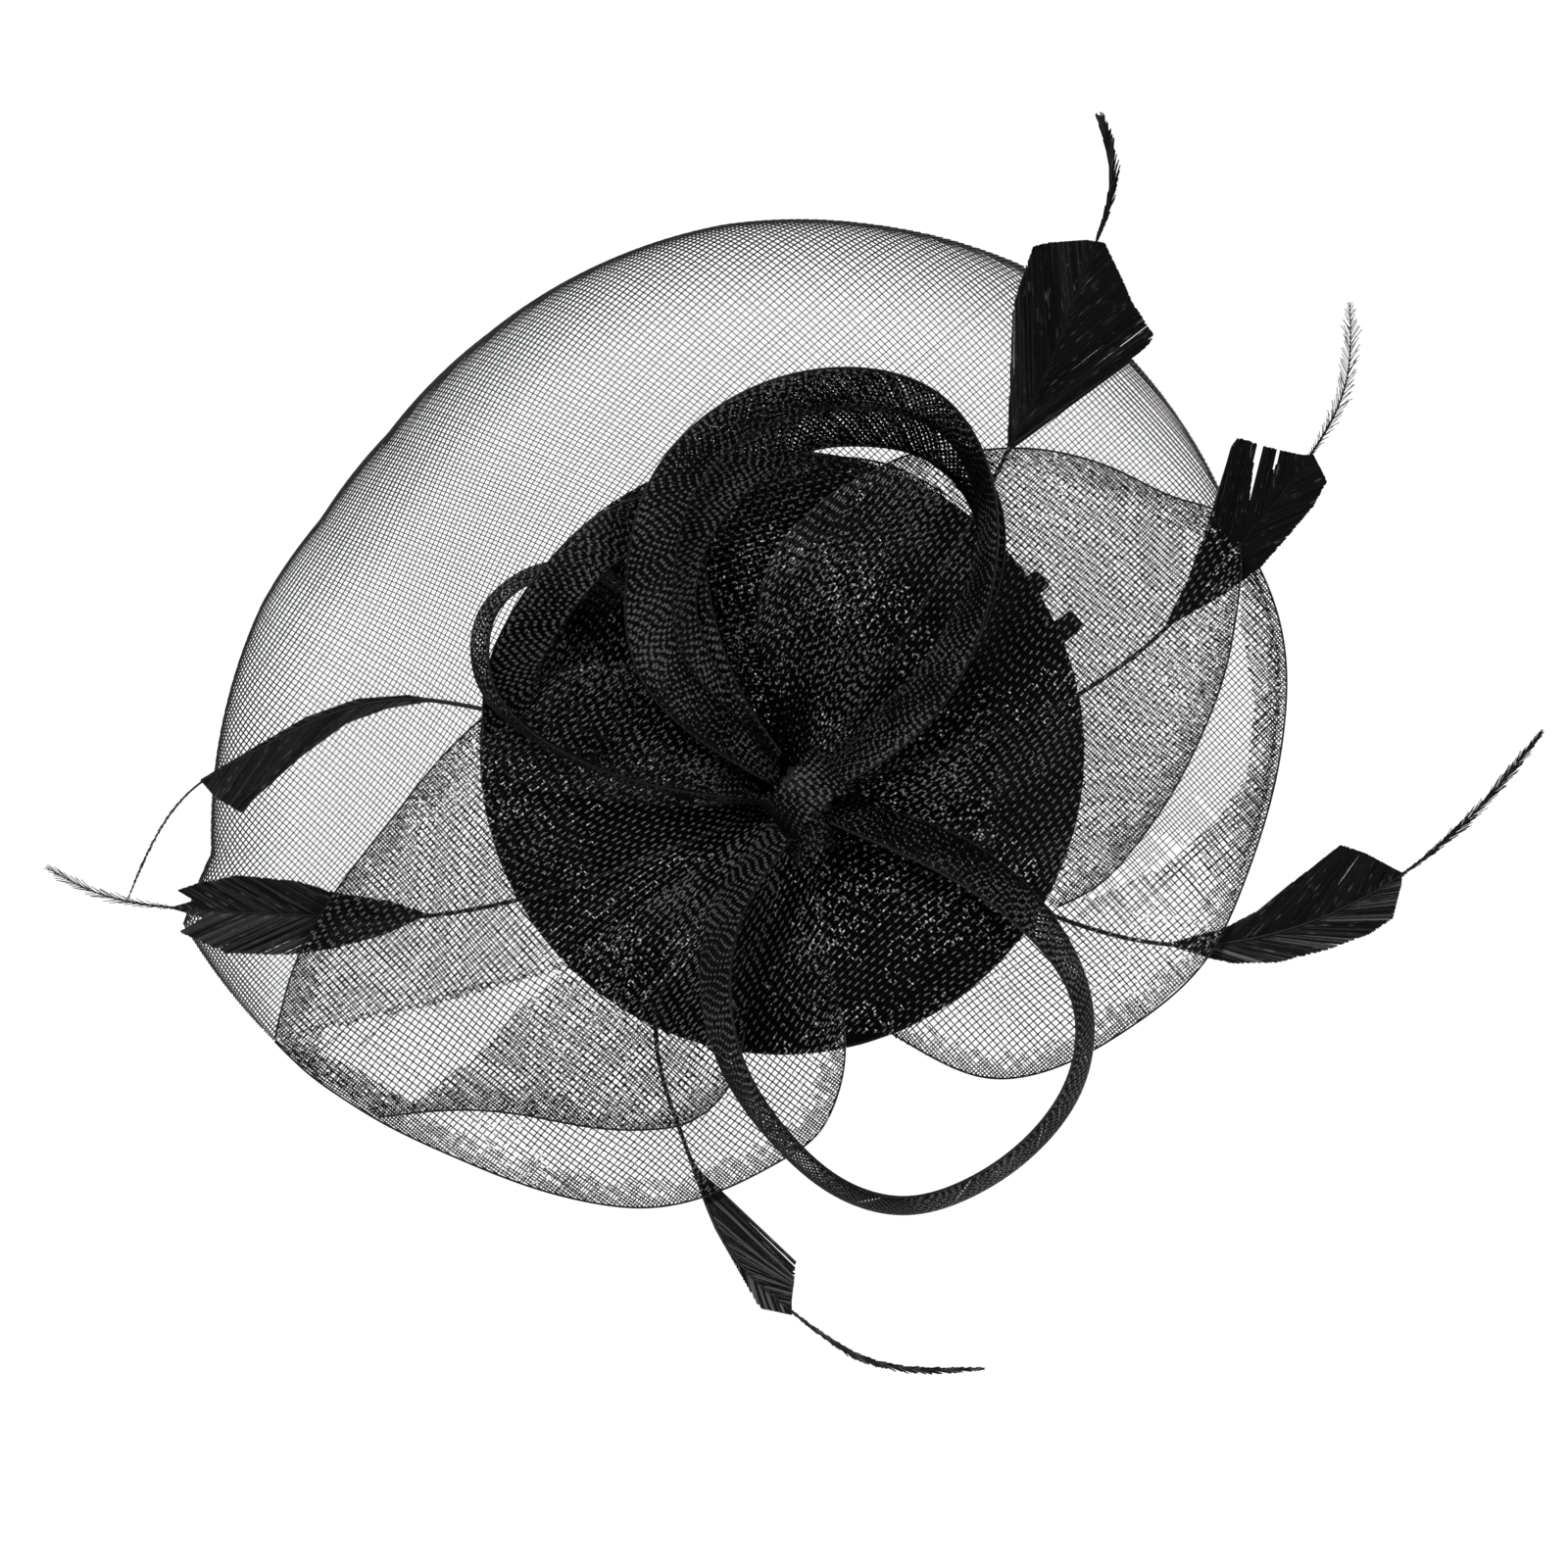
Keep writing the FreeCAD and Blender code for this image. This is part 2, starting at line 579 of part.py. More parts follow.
def veil_net():
    """One sheet of net on the dome, spread past the rim of the base and curled down at its edge."""
    start = size("knot_radius") + size("veil_gather")
    rows = []
    for angle, edge in VEIL_EDGE:
        roll = min(size("veil_roll"), edge - size("base_radius") - size("veil_flat"))
        direction = Vector(math.cos(math.radians(angle)), math.sin(math.radians(angle)), 0)
        reaches = [start, size("veil_middle"), size("base_radius")]
        reaches += [edge - share * roll for share in ROLL_SHARES]
        row = []
        for reach in reaches:
            height = max(dome_height(reach) + size("veil_clearance"), size("veil_height"))
            inward = max(0.0, 1.0 - (edge - reach) / roll)
            height -= size("veil_drop") * (1.0 - math.sqrt(1.0 - inward ** 2))
            row.append(direction * reach + Vector(0, 0, height))
        rows.append(row)
    keep_shape("veil_net", sheet_solid(rows, size("veil_thickness")))


def puff(distance):
    """How much of its full height a petal has at a distance from the knot: up quickly, then slowly down."""
    rise = min(distance / size("puff_rise"), 1.0)
    fall = max(0.0, distance - size("puff_rise")) / size("puff_fall")
    return math.sin(rise * math.pi / 2) - fall


def crin_petal(label, edge, level, height):
    """A petal of crin, gathered to a narrow root at the knot and spread to its outer edge."""
    knot = Vector(size("knot_x"), size("knot_y"), 0)
    reach = size("knot_radius") - size("root_depth")
    rows = []
    for x, y in edge:
        outward = Vector(x, y, 0) - knot
        root = knot + outward * (reach / outward.Length)
        row = []
        for share in PETAL_SHARES:
            spot = root + (Vector(x, y, 0) - root) * share
            row.append(spot + Vector(0, 0, level + height * puff((spot - knot).Length)))
        rows.append(row)
    keep_shape(label, sheet_solid(rows, size("petal_thickness")))


def smooth_curve(points):
    """A cubic curve with these points as its control points."""
    curve = Part.BSplineCurve()
    knots = [float(i) for i in range(len(points) - 2)]
    curve.buildFromPolesMultsKnots(points, [4] + [1] * (len(points) - 4) + [4], knots, False, 3)
    return curve


def ribbon_loop(label, stations):
    """A narrow ribbon of crin that leaves the knot, turns over and comes back to it."""
    half = size("ribbon_width") / 2 * LOOP_WIDTH_SHARE.get(label, 1.0)
    thin = size("ribbon_thickness") / 2
    line = smooth_curve([Vector(x, y, z) for x, y, z, tilt in stations])
    tilts = smooth_curve([Vector(tilt, 0, 0) for x, y, z, tilt in stations])
    count = SECTIONS_PER_STATION * len(stations)
    sections = []
    for i in range(count + 1):
        place = line.LastParameter * i / count
        spot = line.value(place)
        along = Vector(*line.tangent(place)[0])
        level = Vector(0, 0, 1).cross(along).normalize()
        upright = along.cross(level).normalize()
        turn = math.radians(tilts.value(place).x)
        across = level * math.cos(turn) + upright * math.sin(turn)
        through = along.cross(across).normalize()
        corners = [across * half + through * thin, through * thin - across * half,
                   across * -half - through * thin, across * half - through * thin]
        sections.append(Part.makePolygon([spot + corner for corner in corners + corners[:1]]))
    keep_shape(label, Part.makeLoft(sections, True, True))


# ---------------------------------------------------------------- centre knot

def knot_core():
    """Bundled roots of the petals and ribbons, sewn down to the top of the base."""
    core = part_object("Part::Cylinder", "knot_core")
    core.setExpression("Radius", "Sizes.knot_radius")
    core.setExpression("Height", "Sizes.knot_top - Sizes.knot_bottom")
    core.setExpression("Placement.Base.x", "Sizes.knot_x")
    core.setExpression("Placement.Base.y", "Sizes.knot_y")
    core.setExpression("Placement.Base.z", "Sizes.knot_bottom")


def knot_wrap():
    """Band of crin folded over the top of the core, running from lower left to upper right."""
    body = part_object("PartDesign::Body", "knot_wrap")
    sketch = sketch_on(body, "wrap_section", "XZ_Plane")
    arcs = []
    inner = total("knot_radius", "wrap_gap")
    outer = total("knot_radius", "wrap_gap", "wrap_thickness")
    for radius in (outer, inner):
        arc = sketch.addGeometry(
            Part.ArcOfCircle(Part.Circle(Vector(0, 0, 0), Vector(0, 0, 1), radius[0]), 0, math.pi), False)
        pin_point(sketch, arc, 3, ZERO, ZERO)
        index = sketch.addConstraint(Sketcher.Constraint("Radius", arc, radius[0]))
        sketch.setExpression("Constraints[%d]" % index, radius[1])
        for end in (1, 2):
            sketch.addConstraint(Sketcher.Constraint("PointOnObject", arc, end, -1))
        arcs.append(arc)
    for end in (1, 2):
        line = sketch.addGeometry(Part.LineSegment(*[sketch.getPoint(arc, end) for arc in arcs]), False)
        for side, arc in enumerate(arcs, start=1):
            sketch.addConstraint(Sketcher.Constraint("Coincident", line, side, arc, end))
    pad(body, sketch, "wrap_pad", total("wrap_width")).Midplane = True
    doc.recompute()
    top = Vector(size("knot_x"), size("knot_y"), size("knot_top"))
    body.Placement = Placement(top, Rotation(Vector(0, 0, 1), WRAP_ANGLE))


def knot_filling():
    """Rolled crin under the wrap."""
    roll = doc.addObject("Part::Cylinder", "filling_roll")
    roll.setExpression("Radius", "Sizes.knot_radius")
    roll.setExpression("Height", "Sizes.wrap_width - Sizes.filling_inset")
    turn = Rotation(Vector(0, 0, 1), WRAP_ANGLE) * Rotation(Vector(1, 0, 0), -90)
    length = size("wrap_width") - size("filling_inset")
    centre = Vector(size("knot_x"), size("knot_y"), size("knot_top"))
    roll.Placement = Placement(centre - turn.multVec(Vector(0, 0, length / 2)), turn)
    upper = doc.addObject("Part::Box", "filling_upper")
    side = size("knot_radius") * 4
    upper.Length = side
    upper.Width = side
    upper.Height = side
    upper.Placement.Base = centre + Vector(-side / 2, -side / 2, 0)
    half = part_object("Part::Common", "knot_filling")
    half.Base = roll
    half.Tool = upper


# ---------------------------------------------------------------- feathers

def feather_plane(points, slope):
    """The plane of a feather's outer part: level until its second point, then up at its slope."""
    bend = Vector(points[1][0], points[1][1], size("feather_level"))
    end = Vector(points[-2][0], points[-2][1], bend.z)
    heading = (end - bend).normalize()
    return bend, heading, math.tan(math.radians(slope))


def quill_path(points, slope):
    """Straight runs and arcs: level under the petals, then up along the plane of the feather."""
    bend, heading, rise = feather_plane(points, slope)
    knot = Vector(size("knot_x"), size("knot_y"), size("feather_level"))
    outward = Vector(points[0][0], points[0][1], knot.z) - knot
    stops = [knot + outward * ((size("knot_radius") - size("root_depth")) / outward.Length)]
    for x, y in points:
        spot = Vector(x, y, bend.z)
        stops.append(spot + Vector(0, 0, max(0.0, (spot - bend).dot(heading)) * rise))
    edges = []
    last = stops[0]
    for before, corner, after in zip(stops, stops[1:], stops[2:]):
        back = (before - corner).normalize()
        ahead = (after - corner).normalize()
        cut = BEND_SHARE * min((before - corner).Length, (after - corner).Length)
        half = math.acos(max(-1.0, min(1.0, back.dot(ahead)))) / 2
        inward = (back + ahead).normalize() * (cut / math.cos(half) - cut * math.tan(half))
        start = corner + back * cut
        end = corner + ahead * cut
        edges.append(Part.LineSegment(last, start).toShape())
        edges.append(Part.Arc(start, corner + inward, end).toShape())
        last = end
    edges.append(Part.LineSegment(last, stops[-1]).toShape())
    return Part.Wire(edges), (stops[1] - stops[0]).normalize()


def feather_quill(label, points, slope):
    """Bare stem, shaft and thin tip of one feather."""
    path, first = quill_path(points, slope)
    ring = Part.Circle(path.Edges[0].Vertexes[0].Point, first, size("quill_radius"))
    keep_shape(label + "_quill", path.makePipeShell([Part.Wire(ring.toShape())], True, False))


def feather_vane(label, points, slope, outline):
    """Trimmed flat vane of one feather, drawn in its own plane."""
    bend, heading, rise = feather_plane(points, slope)
    aside = Vector(0, 0, 1).cross(heading)
    body = part_object("PartDesign::Body", label + "_vane")
    sketch = sketch_on(body, label + "_outline", "XY_Plane")
    spots = []
    for x, y in outline:
        offset = Vector(x, y, bend.z) - bend
        spots.append(Vector(offset.dot(heading) * math.hypot(1.0, rise), offset.dot(aside), 0))
    for i, spot in enumerate(spots):
        sketch.addGeometry(Part.LineSegment(spot, spots[(i + 1) % len(spots)]), False)
        sketch.addConstraint(Sketcher.Constraint("Block", i))
    pad(body, sketch, label + "_pad", total("vane_thickness"))
    pitch = Rotation(Vector(0, 1, 0), -math.degrees(math.atan(rise)))
    turn = Rotation(Vector(0, 0, 1), math.degrees(math.atan2(heading.y, heading.x))) * pitch
    sunk = turn.multVec(Vector(0, 0, -size("vane_thickness") / 2))
    body.Placement = Placement(bend + sunk, turn)


# ---------------------------------------------------------------- whole headpiece

base_form()
base_rim_wire()
base_cover()
base_lining()
felt_patch()
clip_plate()
clip_lever()
clip_hinge_pin()
clip_spring()
clip_stitches()
veil_net()
for name, (edge, level, height) in PETALS.items():
    crin_petal(name, edge, level, height)
for name, stations in LOOPS.items():
    ribbon_loop(name, stations)
knot_core()
knot_wrap()
knot_filling()
for name, (points, slope, outline) in FEATHERS.items():
    feather_quill(name, points, slope)
    feather_vane(name, points, slope, outline)
doc.recompute()

for thing in doc.Objects:
    bad = [state for state in thing.State if state in ("Invalid", "Error")]
    assert not bad, "%s: %s" % (thing.Label, bad)
os.makedirs("parts", exist_ok=True)
for thing in PARTS:
    assert not thing.Shape.isNull(), thing.Label
    assert thing.Shape.isValid(), thing.Label
    assert thing.Shape.Volume > 0, thing.Label
    thing.Shape.exportStep("parts/%s.step" % thing.Label)
    print("%-28s %9.1f mm3  z %6.1f to %6.1f" % (
        thing.Label, thing.Shape.Volume, thing.Shape.BoundBox.ZMin, thing.Shape.BoundBox.ZMax))
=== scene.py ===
"""Looks of the fascinator: nets of real threads, trimmed feathers and the covered base."""
import math

import bpy
import numpy as np
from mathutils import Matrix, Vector


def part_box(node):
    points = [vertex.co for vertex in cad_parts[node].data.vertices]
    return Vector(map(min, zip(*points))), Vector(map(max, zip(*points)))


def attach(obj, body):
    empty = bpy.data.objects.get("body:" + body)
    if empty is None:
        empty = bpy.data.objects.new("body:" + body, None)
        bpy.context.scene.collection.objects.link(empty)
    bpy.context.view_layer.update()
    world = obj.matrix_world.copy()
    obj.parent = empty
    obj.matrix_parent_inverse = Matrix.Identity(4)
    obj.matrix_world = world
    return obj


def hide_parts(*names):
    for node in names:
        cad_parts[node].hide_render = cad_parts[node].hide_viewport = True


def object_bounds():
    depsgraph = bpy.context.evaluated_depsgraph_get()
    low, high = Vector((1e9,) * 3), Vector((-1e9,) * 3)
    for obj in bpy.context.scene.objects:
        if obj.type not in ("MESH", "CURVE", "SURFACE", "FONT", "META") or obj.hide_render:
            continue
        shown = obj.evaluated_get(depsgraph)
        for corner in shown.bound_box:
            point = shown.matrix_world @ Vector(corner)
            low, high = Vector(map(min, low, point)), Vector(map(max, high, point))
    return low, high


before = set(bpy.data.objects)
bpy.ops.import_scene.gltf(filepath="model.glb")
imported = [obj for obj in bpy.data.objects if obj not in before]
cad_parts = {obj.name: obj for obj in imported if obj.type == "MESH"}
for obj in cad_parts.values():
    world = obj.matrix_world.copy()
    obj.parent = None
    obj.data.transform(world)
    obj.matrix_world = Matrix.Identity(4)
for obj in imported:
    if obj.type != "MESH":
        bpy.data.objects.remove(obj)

CAD_BOX = [list(corner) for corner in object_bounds()]
MM = 0.001
BODY = "headpiece"

base_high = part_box("base_cover")[1]
core_low, core_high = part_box("knot_core")
BASE_RADIUS = base_high.x
BASE_TOP = base_high.z
KNOT = np.array([(core_low.x + core_high.x) / 2, (core_low.y + core_high.y) / 2])
KNOT_RADIUS = (core_high.x - core_low.x) / 2
KNOT_FOOT = core_low.z
KNOT_TOP = core_high.z
FEATHER_LEVEL = BASE_TOP + 3 * MM

# Room under the closed clip, so that the open lever doesn't pass through the floor.
LEVER_ROOM = 6.2 * MM
FLOOR_LEVEL = CAD_BOX[0][2] - LEVER_ROOM

# Netting: distance between threads, then the width and height of a thread.
VEIL_THREAD = (1.06 * MM, 0.19 * MM, 0.24 * MM)
CRIN_THREAD = (1.17 * MM, 0.245 * MM, 0.22 * MM)
RIBBON_THREAD = (0.8 * MM, 0.44 * MM, 0.12 * MM)
KNOT_THREAD = (0.9 * MM, 0.46 * MM, 0.14 * MM)

# Spacing of the points that a thread can be cut at, and of those that are kept along it.
FINE_STEP = 0.5 * MM
STEP = 2.4 * MM

# Crossing threads lie this share of their height apart. Threads get a painted glint, a highlight painted
# into their base colour, that is strongest along this direction and reaches this share at most.
CROSSING = 0.8
PAINTED_GLINT_WAY = np.array([0.77, 0.64, 0.0])
PAINTED_GLINT_SHARE = 0.49

# Corners of a thread's section: to which side of its middle, and above or below.
CORNERS = ((1, 1), (-1, 1), (-1, -1), (1, -1))

# Radii of the cords sewn along the petals' edges and in the folds of the ribbons.
EDGE_CORD = 0.22 * MM
FOLD_CORD = 0.3 * MM
CORD_SIDES = 6

# A petal's root: its radius, that of the cloth drawn in to it, and over what distance.
ROOT = KNOT_RADIUS - 1 * MM
GATHER = 18 * MM
GATHER_FADE = 13 * MM


# ---- curves and surfaces

def run_of(points):
    """Distance along a line at each of its points."""
    return np.concatenate([[0.0], np.cumsum(np.linalg.norm(np.diff(points, axis=0), axis=1))])


def spline(points):
    """A smooth curve through points, as a function of a share of its length, from 0 to 1."""
    points = np.asarray(points, float)
    knots = run_of(points[:, :3])
    knots /= knots[-1]
    gaps = np.diff(knots)
    matrix = np.eye(len(points))
    inner = np.arange(1, len(points) - 1)
    matrix[inner, inner - 1] = gaps[:-1]
    matrix[inner, inner] = 2 * (gaps[:-1] + gaps[1:])
    matrix[inner, inner + 1] = gaps[1:]
    right = np.zeros_like(points)
    right[1:-1] = 6 * np.diff(np.diff(points, axis=0) / gaps[:, None], axis=0)
    bends = np.linalg.solve(matrix, right)

    def at(share):
        share = np.clip(share, 0.0, 1.0)
        i = np.clip(np.searchsorted(knots, share, side="right") - 1, 0, len(points) - 2)
        gap = gaps[i][..., None]
        ahead = (knots[i + 1] - share)[..., None]
        behind = (share - knots[i])[..., None]
        return (bends[i] * ahead ** 3 / (6 * gap) + bends[i + 1] * behind ** 3 / (6 * gap)
                + (points[i] / gap - bends[i] * gap / 6) * ahead
                + (points[i + 1] / gap - bends[i + 1] * gap / 6) * behind)

    return at


def unit(vectors):
    """Vectors brought to a length of one."""
    return vectors / np.maximum(np.linalg.norm(vectors, axis=-1, keepdims=True), 1e-15)


def axes(degrees):
    """Level directions along a heading and across it."""
    angle = math.radians(degrees)
    along = np.array([math.cos(angle), math.sin(angle)])
    return along, np.array([-along[1], along[0]])


def lift_of(family, tall):
    """How far the threads of the first or second family lie off the middle of their cloth."""
    return (0.5 - family) * tall * CROSSING


def lifted(surface, flat, nudge, lift):
    """Points of a surface lifted off it, and its unit normals, which point up where it lies flat."""
    across = surface(flat + (nudge, 0)) - surface(flat - (nudge, 0))
    along = surface(flat + (0, nudge)) - surface(flat - (0, nudge))
    normal = unit(np.cross(across, along))
    return surface(flat) + normal * lift, normal


# ---- meshes

def new_object(name, vertices, faces, material, uv, smooth=True):
    """A mesh object that rides on the headpiece."""
    mesh = bpy.data.meshes.new(name)
    mesh.from_pydata(np.asarray(vertices).tolist(), [], faces)
    layer = mesh.uv_layers.new(name="Thread")
    corner = np.empty(len(mesh.loops), np.int32)
    mesh.loops.foreach_get("vertex_index", corner)
    layer.data.foreach_set("uv", np.asarray(uv, np.float32)[corner].ravel())
    mesh.polygons.foreach_set("use_smooth", [smooth] * len(mesh.polygons))
    mesh.materials.append(material)
    thing = bpy.data.objects.new(name, mesh)
    bpy.context.scene.collection.objects.link(thing)
    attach(thing, BODY)
    return thing


def thread_faces(start, count):
    """Faces of a closed four-sided thread with a count of rings, its corners numbered from a start."""
    faces = []
    ring = start + 4 * np.arange(count - 1)[:, None]
    for corner in range(4):
        after = (corner + 1) % 4
        corners = [ring + corner, ring + 4 + corner, ring + 4 + after, ring + after]
        faces.append(np.concatenate(corners, axis=1))
    ends = [start + np.arange(4), start + 4 * count - 1 - np.arange(4)]
    return faces + [np.array(ends)]


def tube_arrays(lines, width, height):
    """Closed four-sided threads along lines of points and normals.

    Their map holds how far along its thread a point is, and the thread's number plus its painted glint, a
    highlight that the material paints into its base colour.
    """
    vertices, faces, places = [], [], []
    start = 0
    for number, (points, normals) in enumerate(lines):
        tangent = unit(np.gradient(points, axis=0))
        side = unit(np.cross(normals, tangent))
        half_side = side * (width / 2)
        half_up = np.cross(tangent, side) * (height / 2)
        corners = [points + half_side * over + half_up * above for over, above in CORNERS]
        rings = np.stack(corners, axis=1)
        vertices.append(rings.reshape(-1, 3))
        glint = PAINTED_GLINT_SHARE * np.abs(tangent @ PAINTED_GLINT_WAY)
        places.append(np.repeat(np.stack([run_of(points) / MM, number + glint], axis=1), 4, axis=0))
        faces += thread_faces(start, len(points))
        start += 4 * len(points)
    return np.concatenate(vertices), np.concatenate(faces).tolist(), np.concatenate(places)


def threads_piece(name, lines, size, material):
    """One piece made of threads of a width and height along lines."""
    vertices, faces, uv = tube_arrays(lines, *size)
    piece = new_object(name, vertices, faces, material, uv, smooth=False)
    return piece


def ring_faces(rows, count):
    """Faces between rows of rings that have a count of points each."""
    ring = [(c, (c + 1) % count, count + (c + 1) % count, count + c) for c in range(count)]
    return [tuple(row * count + corner for corner in face) for row in range(rows - 1) for face in ring]


def cord_along(points, radius, name, material):
    """A round cord along a line of points. Its radius may be one per point."""
    tangent = unit(np.gradient(points, axis=0))
    side = np.cross(tangent, (0.0, 0.0, 1.0))
    level = np.linalg.norm(side, axis=1, keepdims=True) > 0.05
    side = np.where(level, unit(side), (1.0, 0.0, 0.0))
    up = np.cross(side, tangent)
    count = len(points)
    radii = np.broadcast_to(radius, count)[:, None, None]
    turns = np.linspace(0.0, 2 * math.pi, CORD_SIDES, endpoint=False)[:, None]
    rings = points[:, None] + radii * (np.cos(turns) * side[:, None] + np.sin(turns) * up[:, None])
    around = np.arange(CORD_SIDES) * 2.0 / CORD_SIDES
    uv = np.stack([np.repeat(run_of(points) / MM, CORD_SIDES), np.tile(around, count)], axis=1)
    faces = ring_faces(count, CORD_SIDES)
    faces.append(tuple(range(CORD_SIDES))[::-1])
    faces.append(tuple((count - 1) * CORD_SIDES + corner for corner in range(CORD_SIDES)))
    cord = new_object(name, rings.reshape(-1, 3), faces, material, uv)
    return cord


# ---- materials

# Colours that several materials share.
JET = (0.001, 0.001, 0.0015)
SOOT = (0.006, 0.006, 0.007)
COAL = (0.02, 0.02, 0.022)
WHITE = (1.0, 1.0, 1.0, 1.0)

# Scale of a wave texture that repeats about once in 2 mm.
WEAVE_SCALE = 1000.0 / 6.3

# Sum of the noise of painted light and shade and of the painted glint that neither darkens nor lightens a
# thread.
PLAIN_SUM = 0.88

# Painted glints, white specks in the base colour: how large they are in their cells, and how much noise
# makes a cluster of them.
PAINTED_GLINT_SIZE = 0.25
PAINTED_GLINT_CLUSTER = 0.54

# Colour sockets of a mix node: its first colour, its second and its result.
MIX_DARK, MIX_LIGHT, MIX_RESULT = 6, 7, 2


def set_inputs(node, values):
    """Set inputs of a node by name."""
    for name, value in values.items():
        node.inputs[name].default_value = value


def principled(name, colour, roughness, specular=0.5, sheen=0.0):
    """A plain material that the others build on."""
    material = bpy.data.materials.new(name)
    material.use_nodes = True
    shader = material.node_tree.nodes["Principled BSDF"]
    set_inputs(shader, {"Base Color": (*colour, 1.0), "Roughness": roughness,
                        "Specular IOR Level": specular, "Sheen Weight": sheen})
    return material, material.node_tree, shader


def add_node(tree, kind, vector=None, **values):
    """A shader node with inputs or settings set, fed with a vector if there is one."""
    node = tree.nodes.new(kind)
    for name, value in values.items():
        if name in node.inputs:
            node.inputs[name].default_value = value
        else:
            setattr(node, name, value)
    if vector is not None:
        tree.links.new(vector, node.inputs["Vector"])
    return node


def calculated(tree, operation, *values):
    """Result of a sum on sockets and numbers."""
    node = add_node(tree, "ShaderNodeMath", operation=operation)
    for socket, value in zip(node.inputs, values):
        if isinstance(value, bpy.types.NodeSocket):
            tree.links.new(value, socket)
        else:
            socket.default_value = value
    return node.outputs[0]


def object_place(tree):
    """Where a point is in its object's own axes."""
    return tree.nodes.new("ShaderNodeTexCoord").outputs["Object"]


def thread_place(tree):
    """Where a point is on its thread."""
    return add_node(tree, "ShaderNodeUVMap", uv_map="Thread").outputs["UV"]


def noise_at(tree, place, **values):
    """Noise at a place."""
    return add_node(tree, "ShaderNodeTexNoise", place, **values).outputs["Fac"]


def mixed_colour(tree, shader, factor, dark, light):
    """Base colour between two colours."""
    ramp = tree.nodes.new("ShaderNodeValToRGB")
    for stop, position, colour in zip(ramp.color_ramp.elements, (0.6, 0.9), (dark, light)):
        stop.position = position
        stop.color = (*colour, 1.0)
    tree.links.new(factor, ramp.inputs["Fac"])
    tree.links.new(ramp.outputs["Color"], shader.inputs["Base Color"])


def bumped(tree, shader, height, strength, distance):
    """Fine relief on a shader."""
    bump = add_node(tree, "ShaderNodeBump", Strength=strength, Distance=distance)
    tree.links.new(height, bump.inputs["Height"])
    tree.links.new(bump.outputs["Normal"], shader.inputs["Normal"])


def thread_material(name, dash_mm, dark, light, roughness, specular, painted_patch_strength=0.0):
    """Braided thread, which shows for the length of a dash and then dips under the next; each dash gets a
    painted highlight, its light colour, which patches of painted light and shade and the painted glint
    make stronger or weaker.
    """
    material, tree, shader = principled(name, dark, roughness, specular)
    split = add_node(tree, "ShaderNodeSeparateXYZ", thread_place(tree))
    along = calculated(tree, "MULTIPLY", split.outputs["X"], math.pi / dash_mm)
    turn = calculated(tree, "MULTIPLY", split.outputs["Y"], math.pi * 0.5)
    wave = calculated(tree, "SINE", calculated(tree, "ADD", along, turn))
    shown = calculated(tree, "MULTIPLY_ADD", wave, 0.5, 0.5)
    # Painted glint from the thread's map, plus noise for patches of painted light and shade; together
    # they shift the painted highlight of the dashes.
    glint = calculated(tree, "FRACT", split.outputs["Y"])
    uneven = calculated(tree, "ADD", noise_at(tree, object_place(tree), Scale=60.0, Detail=3.0), glint)
    shift = calculated(tree, "MULTIPLY_ADD", uneven, painted_patch_strength, -PLAIN_SUM * painted_patch_strength)
    mixed_colour(tree, shader, calculated(tree, "ADD", shown, shift), dark, light)
    bumped(tree, shader, shown, 0.4, 0.1 * MM)
    return material


def woven_material(name, dark, light, waves_in_2_mm, roughness, sheen, specular=0.35):
    """Plain woven cloth: warp and weft from two crossed waves, and uneven dye."""
    material, tree, shader = principled(name, dark, roughness, specular, sheen)
    place = object_place(tree)
    crossed = []
    for direction in ("X", "Y"):
        wave = add_node(tree, "ShaderNodeTexWave", place, wave_type="BANDS", bands_direction=direction,
                        Scale=waves_in_2_mm * WEAVE_SCALE, Distortion=1.2, Detail=2.0)
        set_inputs(wave, {"Detail Scale": 2.0})
        crossed.append(wave.outputs["Fac"])
    weave = calculated(tree, "MULTIPLY", *crossed)
    dye = calculated(tree, "MULTIPLY_ADD", noise_at(tree, place, Scale=45.0, Detail=4.0), 0.5, weave)
    mixed_colour(tree, shader, dye, dark, light)
    bumped(tree, shader, weave, 0.6, 0.05 * MM)
    return material


def felt_material(name, dark, light):
    """Pressed felt: fine fibres with no weave."""
    material, tree, shader = principled(name, dark, 0.95, 0.2, 0.3)
    fibres = noise_at(tree, object_place(tree), Scale=1800.0, Detail=6.0, Roughness=0.7)
    mixed_colour(tree, shader, fibres, dark, light)
    bumped(tree, shader, fibres, 0.8, 0.2 * MM)
    return material


def metal_material(name, colour, metallic, roughness):
    """Metal or lacquer with fine scratches and a little wear."""
    material, tree, shader = principled(name, colour, roughness)
    scratches = noise_at(tree, object_place(tree), Scale=900.0, Detail=5.0)
    rough = tree.nodes.new("ShaderNodeMapRange")
    set_inputs(rough, {"To Min": roughness * 0.75, "To Max": min(1.0, roughness * 1.4)})
    set_inputs(shader, {"Metallic": metallic})
    tree.links.new(scratches, rough.inputs["Value"])
    tree.links.new(rough.outputs["Result"], shader.inputs["Roughness"])
    brighter = tuple(min(1.0, c * 1.6 + 0.01) for c in colour)
    mixed_colour(tree, shader, scratches, colour, brighter)
    bumped(tree, shader, scratches, 0.15, 0.05 * MM)
    return material


def feather_material(name, dark, light):
    """Dyed feather with a soft sheen, and a painted sheen: light streaks painted into its base colour
    along each barb.
    """
    material, tree, shader = principled(name, dark, 0.38, 0.4, 0.05)
    stretch = add_node(tree, "ShaderNodeMapping", thread_place(tree), Scale=(0.25, 3.7, 1.0))
    painted_sheen_streaks = noise_at(tree, stretch.outputs["Vector"], Scale=1.0, Detail=3.0)
    mixed_colour(tree, shader, painted_sheen_streaks, dark, light)
    bumped(tree, shader, painted_sheen_streaks, 0.3, 0.1 * MM)
    return material


